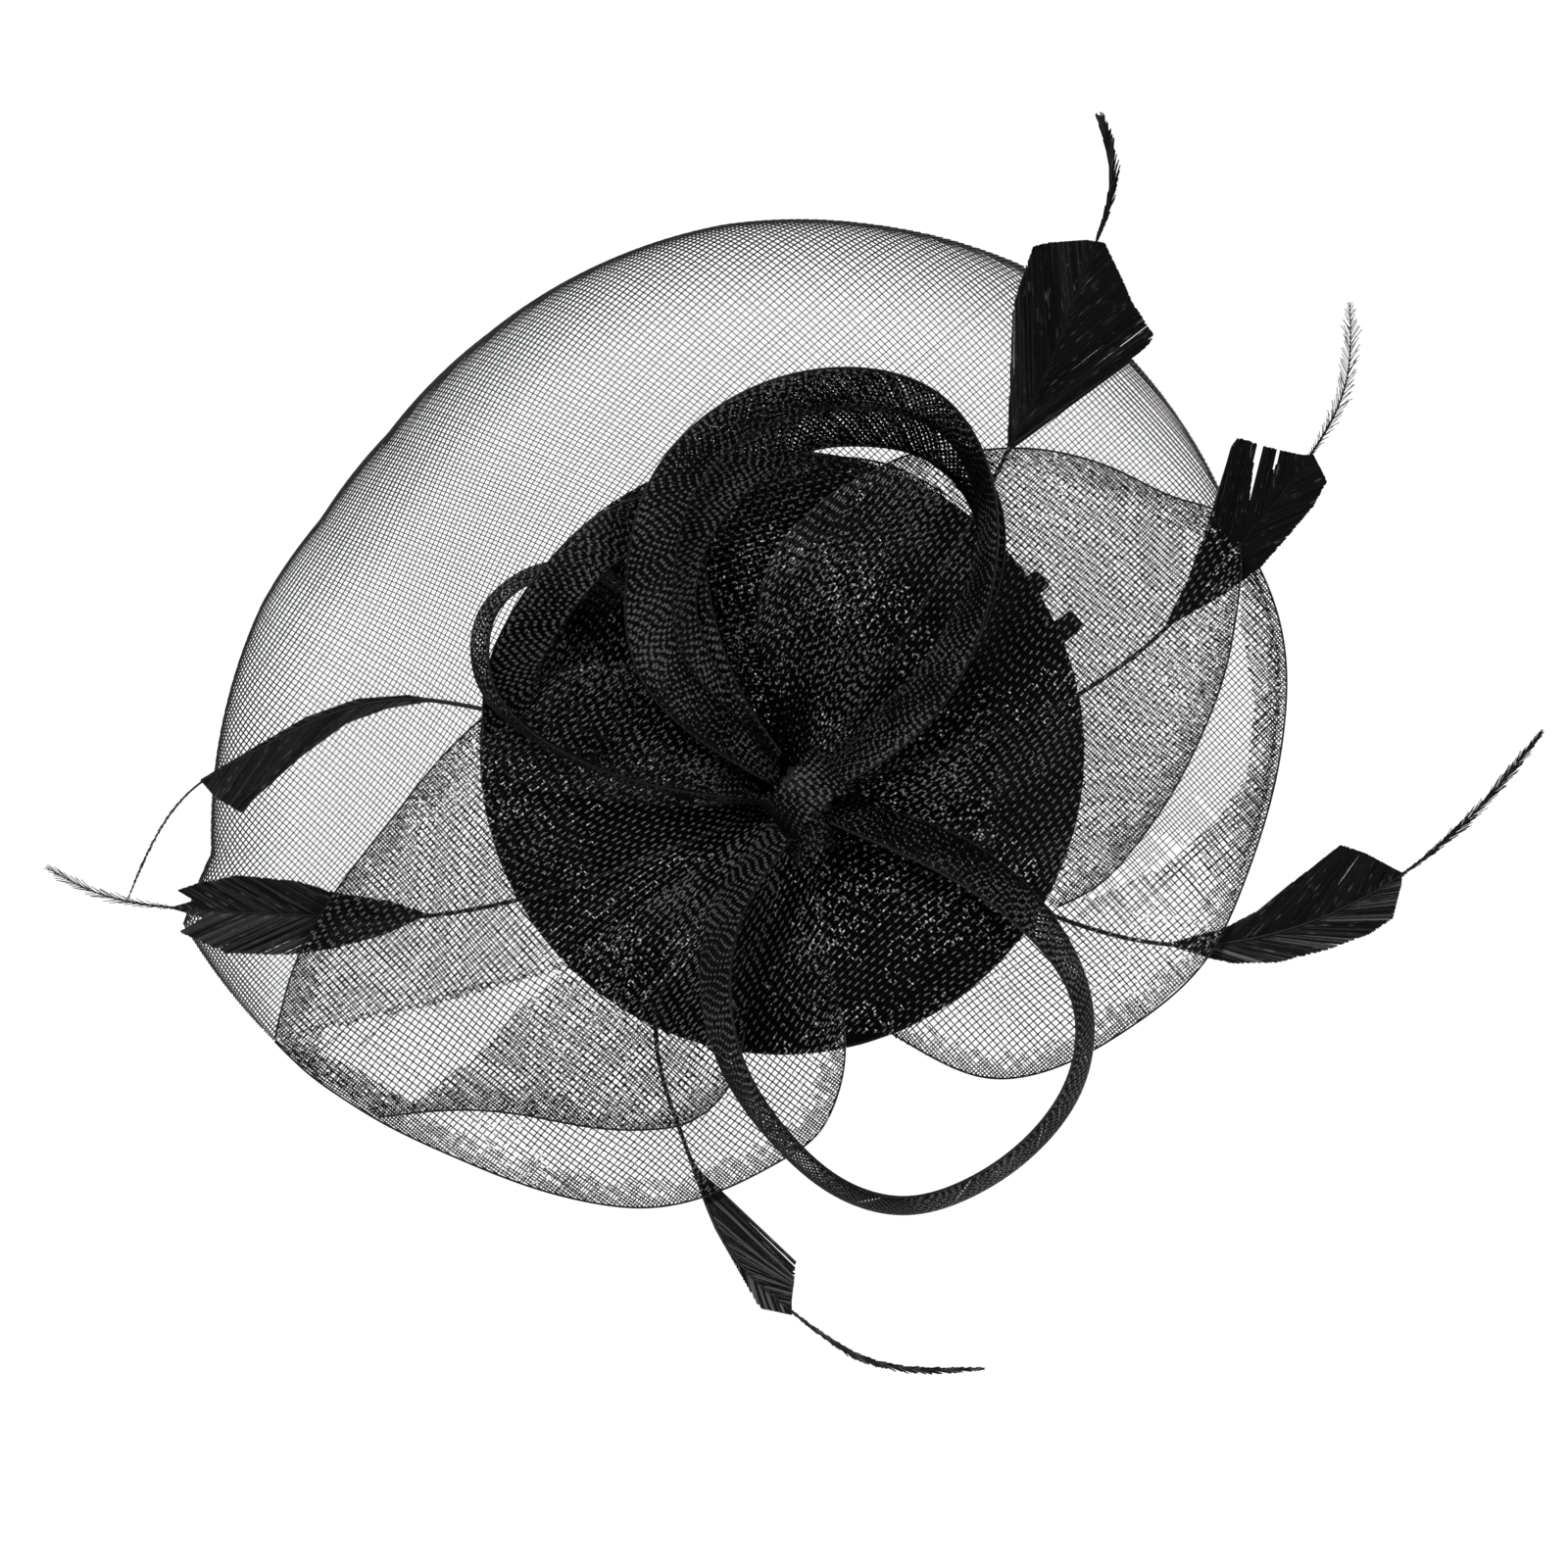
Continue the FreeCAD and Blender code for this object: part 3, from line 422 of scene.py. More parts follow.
def with_painted_glints(material):
    """The same material with clusters of small white specks painted into its base colour as glints, where
    light would catch it.
    """
    tree = material.node_tree
    base = tree.nodes["Principled BSDF"].inputs["Base Color"]
    place = object_place(tree)
    # Painted glints: white dots mixed into the base colour where the cells and the clusters meet.
    cells = add_node(tree, "ShaderNodeTexVoronoi", place, Scale=800.0)
    painted_glint_dot = calculated(tree, "LESS_THAN", cells.outputs["Distance"], PAINTED_GLINT_SIZE)
    clusters = noise_at(tree, place, Scale=38.0, Detail=2.0)
    near = calculated(tree, "GREATER_THAN", clusters, PAINTED_GLINT_CLUSTER)
    mix = add_node(tree, "ShaderNodeMix", data_type="RGBA")
    tree.links.new(calculated(tree, "MULTIPLY", painted_glint_dot, near), mix.inputs["Factor"])
    tree.links.new(base.links[0].from_socket, mix.inputs[MIX_DARK])
    mix.inputs[MIX_LIGHT].default_value = WHITE
    tree.links.new(mix.outputs[MIX_RESULT], base)
    return material


# The second colour of each thread material is a highlight painted on its dashes.
VEIL = thread_material("veil_nylon", 1.1, (0.003, 0.003, 0.003), (0.008, 0.008, 0.009), 0.45, 0.3)
CRIN = with_painted_glints(thread_material("crin_nylon", 1.15, JET, (0.24, 0.24, 0.25), 0.5, 0.09, 1.6))
RIBBON = thread_material("crin_ribbon_nylon", 0.95, JET, (0.15, 0.15, 0.16), 0.5, 0.1, 1.2)
EDGE = thread_material("crin_edge_cord", 0.8, (0.003, 0.003, 0.004), (0.012, 0.012, 0.014), 0.4, 0.3)
COVER = with_painted_glints(woven_material("cover_cloth", JET, SOOT, 2.6, 0.8, 0.04, 0.08))
LINING = woven_material("lining_cloth", SOOT, COAL, 3.2, 0.6, 0.1)
BUCKRAM = woven_material("buckram_cloth", (0.02, 0.02, 0.02), (0.06, 0.06, 0.06), 1.2, 0.85, 0.0)
FELT = felt_material("black_felt", SOOT, COAL)
LACQUER = metal_material("black_lacquer", (0.012, 0.012, 0.013), 0.3, 0.35)
STEEL = metal_material("drawn_steel", (0.45, 0.45, 0.46), 1.0, 0.3)
STITCH = thread_material("sewing_thread", 0.5, SOOT, (0.03, 0.03, 0.032), 0.7, 0.3)
# The feather's light colour is a sheen painted in streaks along its barbs.
FEATHER = feather_material("feather_barbs", (0.0015, 0.0015, 0.002), (0.26, 0.26, 0.27))
QUILL = metal_material("feather_quill", (0.004, 0.004, 0.004), 0.0, 0.4)


# ---- outlines, in millimetres from the base's centre

# Edge of the net, as angle from +X and distance from the centre of the base.
VEIL_EDGE = [
    (-16, 98), (-4, 100.6), (5, 103), (11, 104.6), (19, 104.8), (25, 104.4), (33, 106), (48, 109),
    (64, 112.5), (80, 111), (96, 110), (110, 108), (125, 106), (141, 105), (153, 107), (164, 112),
    (180, 117), (190, 120), (196, 129), (204, 124), (212, 119), (217, 116),
]

# Each petal of crin: its corded outer edge, the turns of its fold before that edge and after it on the
# way back to the knot, its height at the knot and how far it puffs up, which way its threads lie, in
# degrees, and how high the ribs across it are.
PETALS = {
    "left": (
        [(-24, 17), (-40, 18.5), (-51, 15), (-62, 7), (-71, -2), (-79, -12), (-90, -26), (-100, -43),
         (-104.5, -59)],
        [], [(-96, -57.5), (-75.5, -53), (-61, -49), (-46, -45)], 15, 10, 38, 0),
    "lower_left": (
        [(-104.5, -59.5), (-97.7, -66), (-90, -71.5), (-83, -75.8), (-68, -83), (-53, -89),
         (-38.5, -92.8), (-27, -93.7), (-12, -90), (0, -84), (7, -79), (11, -72), (13, -63),
         (12.5, -54)],
        [(-46, -43), (-61, -47), (-75.5, -51), (-96, -56)], [], 13, 11, 52, 0),
    "bottom": (
        [(-83, -75), (-65, -73.5), (-53, -74.6), (-38.5, -77.2), (-27, -77.6), (-20.5, -76.6),
         (-15, -73.5), (-10.5, -68), (-8, -58)],
        [(-46, -45), (-52, -51), (-63.5, -62.5), (-76, -72), (-90, -63.5), (-103.5, -60)], [],
        19, 13, 45, 0),
    "lower_right": (
        [(22, -58), (31, -63), (42, -67), (56, -65), (71, -57), (87, -43), (95, -27), (101, -8),
         (103.5, 8), (103.5, 20), (100, 34), (95, 44)],
        [(10, -57.5)],
        [(94, 26.5), (97, 11), (95.5, -5), (89, -14.5), (79, -23), (65, -29.5), (55, -31)],
        15, 11, 40, 0),
    "right": (
        [(57, -32), (65, -27.5), (72.5, -19.5), (79.5, -9.5), (85.7, 2.4), (91, 16.5), (94, 33.5),
         (94, 43), (91, 48.5), (82, 52), (69.5, 57.7), (58, 61.4), (47, 62.5), (38, 62), (32, 62),
         (24, 60.5), (18, 57.5), (10.5, 53.5), (5.5, 49.5), (0, 43.5), (-4, 36), (-6, 24)],
        [], [], 20, 13, 50, 0),
    "top": (
        [(34, 53), (21, 59.5), (10, 61), (-2, 61.5), (-12, 60), (-24, 56)],
        [(22, 20)], [(-18, 20)], 16, 13, 14, 1.3),
    "upper_left": (
        [(-20, 57), (-33, 51.5), (-46, 41.5), (-55, 30), (-60, 17), (-62, 2)],
        [], [], 14, 12, 60, 1),
}

# Middle line of each ribbon: x, y, z and the tilt of its face out of the level, in degrees. The last
# two are a second turn inside the top loop, and a band along the base's edge.
LOOPS = {
    "top": [
        (-1, -4, 35, 60), (-13, 5, 40, 30), (-25, 18, 45, 12), (-27, 35, 50, 12), (-22.5, 54, 54, 22),
        (-8.5, 68.5, 55, 35), (13, 74.5, 54, 38), (31, 70, 52, 52), (41.5, 53, 50, 68),
        (38, 27, 46, 50), (27, 9, 41, 30), (10, -5, 35, 60),
    ],
    "bottom": [
        (2, -14, 35, 60), (-9.5, -29, 43, 50), (-13.5, -46, 50, 52), (-10, -64, 54, 60),
        (0.5, -79.5, 55, 66), (12, -89, 55, 68), (25, -92.5, 54, 68), (38, -89, 53, 68),
        (51, -80, 51, 68), (60, -67, 50, 68), (61, -50, 48, 66), (54, -37, 46, 50), (38, -23, 42, 30),
        (10.5, -12, 35, 60),
    ],
    "small": [
        (-0.5, -6, 26, 84), (-15, 8, 33, 84), (-25, 24, 36, 84), (-37, 36.2, 38, 66),
        (-49.2, 37, 38, 57), (-56.6, 33, 38, 58), (-60.6, 27.8, 37, 52), (-61.9, 21.5, 37, 50),
        (-60.5, 13.6, 37, 58), (-47, 1, 37.5, 84), (-30, -6, 37, 86), (-0.5, -10.5, 26, 84),
    ],
    "inner": [
        (-2, -2, 31, 60), (-15, 11, 34, 25), (-22.5, 29, 37, 15), (-19, 45.5, 41, 22),
        (-9, 57.6, 43, 32), (3, 65, 44, 38), (17, 66.6, 44, 40), (30, 63.6, 43, 46), (39.5, 55, 42, 52),
        (43, 42, 40, 60), (37, 24, 36, 50), (24, 7, 33, 30), (10, -4, 31, 60),
    ],
    "band": [
        (-4, -6, 24, 40), (-20, -6, 19, 15), (-42, -4, 17, 15), (-54, 0, 19, 18), (-56.5, 9, 26, 16),
        (-54.5, 19, 33, 12), (-49, 29, 40, 10), (-41.5, 38.5, 43, 10), (-31.5, 46, 43, 12),
        (-23, 47, 39, 15), (-20.5, 38, 33, 15), (-18, 24, 30, 15), (-11, 8, 26, 30), (-2, -3, 26, 50),
    ],
}
RIBBON_WIDTH = {"top": 9.6, "bottom": 9.6, "small": 5.4, "inner": 10, "band": 10}

# Each feather: where its quill runs, the slope of its outer part in degrees, the outline of its vane,
# and the barbs left on its tip: their length, spread in degrees, spacing and width.
FEATHERS = {
    "top": (
        [(38, 46), (46.5, 62), (56.5, 83.5), (64, 103.5), (67.5, 116), (65, 130.5)], 20,
        [(46.5, 62), (47, 77), (47.6, 91.6), (48.6, 95.6), (51.7, 104), (55, 104.7), (62.4, 105.2),
         (66.3, 104.5), (69.5, 98), (72, 92.4), (76.4, 86), (76, 84.6), (67, 76.2), (59, 71), (51, 65)],
        (6, 8.5, 0.4, 0.26)),
    "upper_right": (
        [(62, 12.5), (79.5, 26), (92, 40), (107, 59), (115.5, 76), (116, 92)], 24,
        [(79, 26), (83.7, 35.7), (86.3, 43.2), (87.7, 49.4), (89, 57), (91, 61), (93.6, 64.6),
         (97.3, 63.4), (96.4, 57), (95.6, 49), (96.8, 57), (98.2, 63), (101.6, 62.2), (99.6, 52),
         (102.2, 62), (106.8, 61), (109, 61), (111.8, 55.7), (109, 50.5), (103.7, 44.2), (98.3, 38),
         (91, 32.6), (83.7, 28.4)],
        (3.6, 30, 0.7, 0.14)),
    "right": (
        [(55.5, -33.5), (79, -39.5), (104, -36.5), (127.5, -25), (143, -11.5), (156, 4.5)], 14,
        [(79, -39.5), (91, -36.3), (97.7, -32.8), (104.3, -27.4), (110, -23), (115, -19), (120, -20.7),
         (127.4, -24.7), (127.3, -27), (125.6, -34), (121, -37.2), (112, -40.6), (102, -43.2),
         (93, -43.4), (88, -42.3)],
        (4.2, 13, 0.5, 0.16)),
    "bottom": (
        [(-26, -58), (-18.8, -84), (-10.5, -103), (2, -115), (18, -125), (41.5, -126.5)], 12,
        [(-18.5, -84), (-16.2, -87), (-10, -91.8), (-2.4, -96.2), (4.5, -101), (3, -104), (2, -113),
         (2, -115.7), (-4, -114.5), (-5, -113.5), (-10, -104.7), (-13.8, -98), (-16.8, -90.4)],
        (3.2, 11, 0.35, 0.24)),
    "upper_left": (
        [(-62, 9), (-77, 11), (-93, 8), (-109, 0), (-121, -7.5), (-134.5, -31)], 16,
        [(-71, 10.8), (-77.2, 11.8), (-87.5, 11), (-98, 7.2), (-108.2, 1.2), (-119.5, -5.7),
         (-116.5, -9.3), (-111.2, -12.4), (-106.2, -7.3), (-98, 0), (-89.6, 6.1), (-81.4, 9.1)],
        (1.2, 14, 0.6, 0.14)),
    "lower_left": (
        [(-55, -30.5), (-77, -34), (-101, -33.5), (-125, -32), (-142, -28.5), (-151.5, -23.5)], 6,
        [(-73, -33.3), (-81.4, -30.6), (-91.8, -29), (-100, -26.5), (-112.2, -25.3), (-120.5, -27),
         (-127.8, -29.4), (-121, -30.5), (-126, -32), (-119, -34), (-124, -37), (-114.5, -41.3),
         (-102, -41.7), (-91.8, -40.3), (-81.4, -37.3)],
        (3.6, 17, 0.8, 0.12)),
}


# ---- net veil

# The net: its level, radius of the cut in its middle, reach of its threads and their headings.
VEIL_LEVEL = 9 * MM
VEIL_START = 44 * MM
VEIL_SPAN = 140 * MM
VEIL_HEADINGS = (42.0, 134.0)

# How far round its curl the net goes at its edge.
VEIL_SWEEP = math.radians(88.0)

# The two raw ends of the net: distances from the base's centre, and angles from +X there.
VEIL_FIRST = (np.array([70, 82, 90, 96]) * MM, [-25.0, -17.0, -14.5, -13.0])
VEIL_LAST = (np.array([64, 78, 92, 110, 116]) * MM, [223.0, 218.0, 214.0, 210.5, 216.0])

# Where the net is steamed round at the upper left, over what distance, how sharply its threads turn, and
# how far aside they are drawn in the end.
TURN_PLACE = np.array([-72.0, 50.0]) * MM
TURN_REACH = 55 * MM
TURN_SHARPNESS = 1.2
VEIL_DRAWN = math.radians(27.0) * 0.89 * TURN_REACH


def veil_polar(flat):
    """Distance of points from the base's centre, and their angle from +X, from -60 to 300 degrees."""
    reach = np.hypot(flat[:, 0], flat[:, 1])
    angle = np.degrees(np.arctan2(flat[:, 1], flat[:, 0]))
    return reach, np.where(angle < -60.0, angle + 360.0, angle)


def veil_edge(angle):
    """Radius of the curl at the net's edge, and how far out it starts, at angles in degrees."""
    table = np.array(VEIL_EDGE, float)
    right = 1.0 / (1.0 + np.exp((angle - 45.0) / 8.0))
    near_ends = np.clip((angle - 198.0) / 12.0, 0.0, 1.0) + np.clip((30.0 - angle) / 14.0, 0.0, 1.0)
    curl = 19.0 - 9.0 * right
    curl = (curl + (2.0 - curl) * np.clip(near_ends, 0.0, 1.0)) * MM
    return curl, np.interp(angle, table[:, 0], table[:, 1]) * MM - curl


def veil_place(flat):
    """Points of the flat net laid on the base and curled down round their edge."""
    reach, angle = veil_polar(flat)
    curl, start = veil_edge(angle)
    turn = np.clip((reach - start) / curl, 0.0, VEIL_SWEEP)
    out = np.minimum(reach, start) + curl * np.sin(turn)
    down = curl * (1.0 - np.cos(turn))
    wave = 0.5 * MM * np.sin(np.radians(angle * 5.0)) * np.clip(reach / BASE_RADIUS - 1.0, 0.0, 1.0)
    level = VEIL_LEVEL - down + wave * np.cos(turn)
    return np.concatenate([flat * (out / np.maximum(reach, 1e-9))[:, None], level[:, None]], axis=1)


def veil_inside(flat, fray):
    """Which points of the flat net are between its inner cut, its raw ends and its curled edge."""
    reach, angle = veil_polar(flat)
    curl, start = veil_edge(angle)
    first = np.interp(reach, *VEIL_FIRST) + 4.0 * fray
    last = np.interp(reach, *VEIL_LAST) + fray
    return (reach > VEIL_START) & (reach < start + curl * VEIL_SWEEP) & (angle > first) & (angle < last)


def drawn_aside(run, offset, along, aside):
    """How far a thread is drawn aside where the net is steamed round."""
    past = (run - TURN_PLACE @ along) / TURN_REACH
    beside = (offset - TURN_PLACE @ aside) / TURN_REACH
    return VEIL_DRAWN * np.tanh(TURN_SHARPNESS * past) * math.exp(-beside ** 2)


def veil_lines():
    """The two families of threads of the net."""
    rng = np.random.default_rng(11)
    pitch, _, tall = VEIL_THREAD
    run = np.arange(-VEIL_SPAN, VEIL_SPAN, FINE_STEP)
    lines = []
    for family, heading in enumerate(VEIL_HEADINGS):
        along, aside = axes(heading)
        for offset in np.arange(-VEIL_SPAN, VEIL_SPAN, pitch):
            offset = offset + rng.normal(0.0, 0.05 * pitch)
            sway = 1.5 * MM * np.sin(run / (38 * MM) + offset / (26 * MM))
            sway = sway + drawn_aside(run, offset, along, aside)
            flat = run[:, None] * along + (offset + sway)[:, None] * aside
            kept = veil_inside(flat, rng.normal(0.0, 1.0))
            lines += thread_pieces(flat, kept, veil_place, lift_of(family, tall))
    return lines


def veil():
    """Net of fine nylon, curled down at its edge."""
    piece = threads_piece("veil_threads", veil_lines(), VEIL_THREAD[1:], VEIL)
    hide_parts("veil_net")


# ---- gathered petals

# Distance between the ribs across a petal, and the most that is turned under along its rim.
RIB_PITCH = 3.6 * MM
TURN_IN = 6 * MM

# Distance from the knot at which a petal is highest, and that over which it would come down again.
PUFF_TOP = 45 * MM
PUFF_FALL = 90 * MM


def puff(distance):
    """Share of its full height that a petal has at a distance from the knot: quickly up, slowly down."""
    rise = np.minimum(distance / PUFF_TOP, 1.0)
    fall = np.maximum(0.0, distance - PUFF_TOP) / PUFF_FALL
    return np.sin(rise * math.pi / 2) - fall


def petal_outline(edge, before, after):
    """A petal's outline as points: the root, its folds and its smooth corded edge."""
    rim = spline(np.array(edge, float) * MM)(np.linspace(0.0, 1.0, 160))
    first = rim[0] if not before else np.array(before[0], float) * MM
    last = rim[-1] if not after else np.array(after[-1], float) * MM
    roots = [KNOT + (spot - KNOT) * (ROOT / np.linalg.norm(spot - KNOT)) for spot in (first, last)]
    folds = [np.array(part, float).reshape(-1, 2) * MM for part in (before, after)]
    return np.concatenate([roots[:1], folds[0], rim, folds[1], roots[1:]]), rim


def inside(points, outline):
    """Which points lie inside a closed outline."""
    found = np.zeros(len(points), bool)
    for a, b in zip(outline, np.roll(outline, -1, axis=0)):
        if a[1] == b[1]:
            continue
        between = (a[1] > points[:, 1]) != (b[1] > points[:, 1])
        found ^= between & (points[:, 0] < a[0] + (points[:, 1] - a[1]) * (b[0] - a[0]) / (b[1] - a[1]))
    return found


def petal_plan(cloth):
    """Where a petal's cloth lies in plan: flat far out, drawn in to the root near the knot."""
    outward = cloth - KNOT
    reach = np.maximum(np.linalg.norm(outward, axis=1), 1e-9)
    drawn = reach - (GATHER - ROOT) * np.exp(-(reach - GATHER) / GATHER_FADE)
    return KNOT + outward * (drawn / reach)[:, None]


def petal_height(plan, level, height, phase, ribs):
    """Height of a petal over a point in plan, with pleats out of the knot and ribs across them."""
    outward = plan - KNOT
    distance = np.linalg.norm(outward, axis=1)
    angle = np.arctan2(outward[:, 1], outward[:, 0])
    pleats = 1.3 * MM * np.exp(-(distance - ROOT) / (24 * MM)) * np.sin(21 * angle + phase)
    waves = 1.5 * MM * np.sin(5 * angle + phase) * np.clip(distance / (60 * MM), 0.0, 1.2)
    across = ribs * np.sin(2 * math.pi * np.linalg.norm(plan, axis=1) / RIB_PITCH)
    across = across * np.clip(distance / (20 * MM) - 1.0, 0.0, 1.0)
    return level + height * puff(distance) + pleats + waves + across


def rim_distance(plan, rim):
    """Distance in plan from each point to the rim of a petal."""
    nearest = np.full(len(plan), np.inf)
    for spot in rim[::2]:
        nearest = np.minimum(nearest, np.linalg.norm(plan - spot, axis=1))
    return nearest


def runs_of(mask):
    """Start and end of each unbroken run of true values."""
    edges = np.diff(np.concatenate([[0], mask.astype(int), [0]]))
    return zip(np.flatnonzero(edges == 1), np.flatnonzero(edges == -1))


def thread_pieces(cloth, kept, place, lift):
    """The kept stretches of one thread, with fewer points along them."""
    pieces = []
    for start, end in runs_of(kept):
        count = end - start
        if count < 3:
            continue
        few = max(3, round(count * FINE_STEP / STEP))
        chosen = np.unique(np.linspace(start, end - 1, few).astype(int))
        pieces.append(lifted(place, cloth[chosen], 0.05 * MM, lift))
    return pieces


def petal_lines(outline, rim, place, phase, heading, rng):
    """The two families of threads of a petal, cut off at its outline and turned under along its rim."""
    pitch, _, tall = CRIN_THREAD
    low = outline.min(axis=0) - 20 * MM
    high = outline.max(axis=0) + 20 * MM
    middle = (low + high) / 2
    span = float(np.linalg.norm(high - low)) / 2
    run = np.arange(-span, span, FINE_STEP)

    def kept(cloth):
        plan = petal_plan(cloth)
        return plan, (np.linalg.norm(cloth - KNOT, axis=1) > GATHER) & inside(plan, outline)

    lines = []
    for family, degrees in enumerate((heading, heading + 92.0)):
        along, aside = axes(degrees)
        lift = lift_of(family, tall)
        for offset in np.arange(-span, span, pitch):
            offset = offset + rng.normal(0.0, 0.06 * pitch)
            sway = 0.7 * MM * np.sin(run / (9 * MM) + offset / (7 * MM))
            sway = sway * math.sin(offset / (13 * MM) + phase)
            cloth = middle + run[:, None] * along + (offset + sway)[:, None] * aside
            lines += thread_pieces(cloth, kept(cloth)[1], place, lift)
            under = cloth + 0.5 * pitch * aside
            plan, within = kept(under)
            uneven = 0.65 + 0.35 * np.sin(run / (2 * MM) + rng.uniform(0.0, 2 * math.pi))
            turned_in = rim_distance(plan, rim) < TURN_IN * uneven
            lines += thread_pieces(under, within & turned_in, place, lift - 0.4 * MM)
    return lines


def petal(name, edge, before, after, level, height, heading, ribs, seed):
    """One petal: its crin threads and the cord along its edge."""
    outline, rim = petal_outline(edge, before, after)
    rng = np.random.default_rng(seed)
    phase = rng.uniform(0.0, 6.0)

    def place(cloth):
        plan = petal_plan(cloth)
        heights = petal_height(plan, level * MM, height * MM, phase, ribs * MM)
        return np.concatenate([plan, heights[:, None]], axis=1)

    lines = petal_lines(outline, rim, place, phase, heading, rng)
    piece = "crin_petal_" + name
    threads = threads_piece(piece + "_threads", lines, CRIN_THREAD[1:], CRIN)
    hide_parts(piece)
    cord = cord_along(place(rim), EDGE_CORD, piece + "_edge", EDGE)


# ---- ribbon loops

# Thickness of a flattened loop, its girth over twice its width, and the share of its length over which
# its direction is taken.
LOOP_THICK = 1.6 * MM
LOOP_GIRTH = 1.03
LOOK_AHEAD = 0.004
LOOP_POINTS = 200

# Step over which the slope of a ribbon or strip is taken, as a share of its size.
SHARE_STEP = 1e-3


def loop_surface(line, width):
    """A flattened tube of crin along the middle line of a loop, round the tube and then along it."""
    def surface(flat):
        u, v = flat.T
        spot = line(v)
        along = line(np.clip(v + LOOK_AHEAD, 0, 1)) - line(np.clip(v - LOOK_AHEAD, 0, 1))
        along = unit(along[..., :3])
        level = unit(np.cross((0.0, 0.0, 1.0), along))
        upright = np.cross(along, level)
        tilt = np.radians(spot[..., 3])[..., None]
        across = level * np.cos(tilt) + upright * np.sin(tilt)
        turn = 2 * math.pi * u[..., None]
        over = np.cross(along, across) * np.sin(turn) * LOOP_THICK / 2
        return spot[..., :3] + across * np.cos(turn) * width / 2 + over

    return surface


def round_lines(surface, girth, length, seed):
    """Threads that wind round a tube both ways, at 45 degrees."""
    rng = np.random.default_rng(seed)
    pitch, _, tall = RIBBON_THREAD
    number = max(3, round(girth / (pitch * math.sqrt(2))))
    v = np.linspace(0.0, 1.0, int(length / (1.1 * MM)))
    lines = []
    for family, way in enumerate((1.0, -1.0)):
        for index in range(number):
            u = (index + rng.normal(0.0, 0.08)) / number + way * v * length / girth
            lines.append(lifted(surface, np.stack([u, v], axis=1), SHARE_STEP, lift_of(family, tall)))
    return lines


def loop(name, stations, width, seed):
    """One loop of tubular crin pressed flat, with a cord in each fold."""
    line = spline(np.array(stations, float) * (MM, MM, MM, 1.0))
    surface = loop_surface(line, width * MM)
    share = np.linspace(0.0, 1.0, LOOP_POINTS)
    length = float(run_of(line(share)[:, :3])[-1])
    girth = 2 * width * MM * LOOP_GIRTH
    lines = round_lines(surface, girth, length, seed)
    piece = "crin_loop_" + name
    threads = threads_piece(piece + "_threads", lines, RIBBON_THREAD[1:], RIBBON)
    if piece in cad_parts:
        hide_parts(piece)
    for side, turn in (("inner", 0.0), ("outer", 0.5)):
        fold = surface(np.stack([np.full(LOOP_POINTS, turn), share], axis=1))
        cord_along(fold, FOLD_CORD, "%s_%s_cord" % (piece, side), EDGE)


# ---- centre knot

# The two strips over the knot: middle and radius of the arch, width, and heading in degrees.
WRAP = ((KNOT[0], KNOT[1], KNOT_TOP - 1.5 * MM), KNOT_RADIUS + 1.6 * MM, 14 * MM, 45.0)
SECOND_STRIP = ((KNOT[0] + 0.8 * MM, KNOT[1] - 8.5 * MM, KNOT_TOP - 4 * MM), 5 * MM, 12 * MM, 24.0)

# Points round the pleated core of the knot, and rows of them up its side.
CORE_POINTS = 72
CORE_ROWS = 24


def strip_surface(middle, radius, width, heading):
    """A strip bent over in an arch, across its width and then round the arch."""
    ahead, aside = (np.append(way, 0.0) for way in axes(heading))

    def surface(flat):
        u, v = flat.T
        turn = math.pi * (0.02 + 0.96 * v)
        waist = 1.0 - 0.3 * np.sin(turn) ** 2
        spot = np.asarray(middle) - ahead * (radius * np.cos(turn))[..., None]
        spot = spot + aside * ((u - 0.5) * width * waist)[..., None]
        spot[..., 2] = middle[2] + radius * np.sin(turn) * (1.0 - 0.15 * (2 * u - 1) ** 2)
        return spot

    return surface


def diagonal_lines(width, height, slant, rng):
    """Straight threads on a flat cloth from (0, 0) to (width, height), one way across it."""
    pitch = KNOT_THREAD[0]
    spread = pitch / math.cos(math.radians(slant))
    lean = math.tan(math.radians(slant))
    low = min(0.0, -lean * height) - abs(lean) * height
    high = width + max(0.0, -lean * height) + abs(lean * height)
    y = np.linspace(0.0, height, max(3, int(height / math.cos(math.radians(slant)) / STEP) + 1))
    lines = []
    for start in np.arange(low, high + spread, spread):
        x = start + rng.normal(0.0, 0.1 * pitch) + lean * y
        within = (x >= 0.0) & (x <= width)
        if within.sum() >= 2:
            lines.append(np.stack([x[within], y[within]], axis=1))
    return lines


def strip_lines(surface, width, height, seed):
    """Two families of threads on a strip, one just above it and one below, with a little sway."""
    rng = np.random.default_rng(seed)
    pitch, _, tall = KNOT_THREAD
    lines = []
    for family, slant in enumerate((45.0, -45.0)):
        for flat in diagonal_lines(width, height, slant, rng):
            wave = np.sin(flat[:, 1] / (9 * MM) + flat[:, 0] / (14 * MM) + rng.uniform(0, 1.5))
            u = np.clip((flat[:, 0] + 0.28 * pitch * wave) / width, 0.0, 1.0)
            share = np.stack([u, flat[:, 1] / height], axis=1)
            lines.append(lifted(surface, share, SHARE_STEP, lift_of(family, tall)))
    return lines


def knot_strip(name, middle, radius, width, heading, seed):
    """A strip of dense crin over the knot."""
    length = math.pi * radius
    lines = strip_lines(strip_surface(middle, radius, width, heading), width, length, seed)
    piece = threads_piece(name, lines, KNOT_THREAD[1:], RIBBON)
    return piece


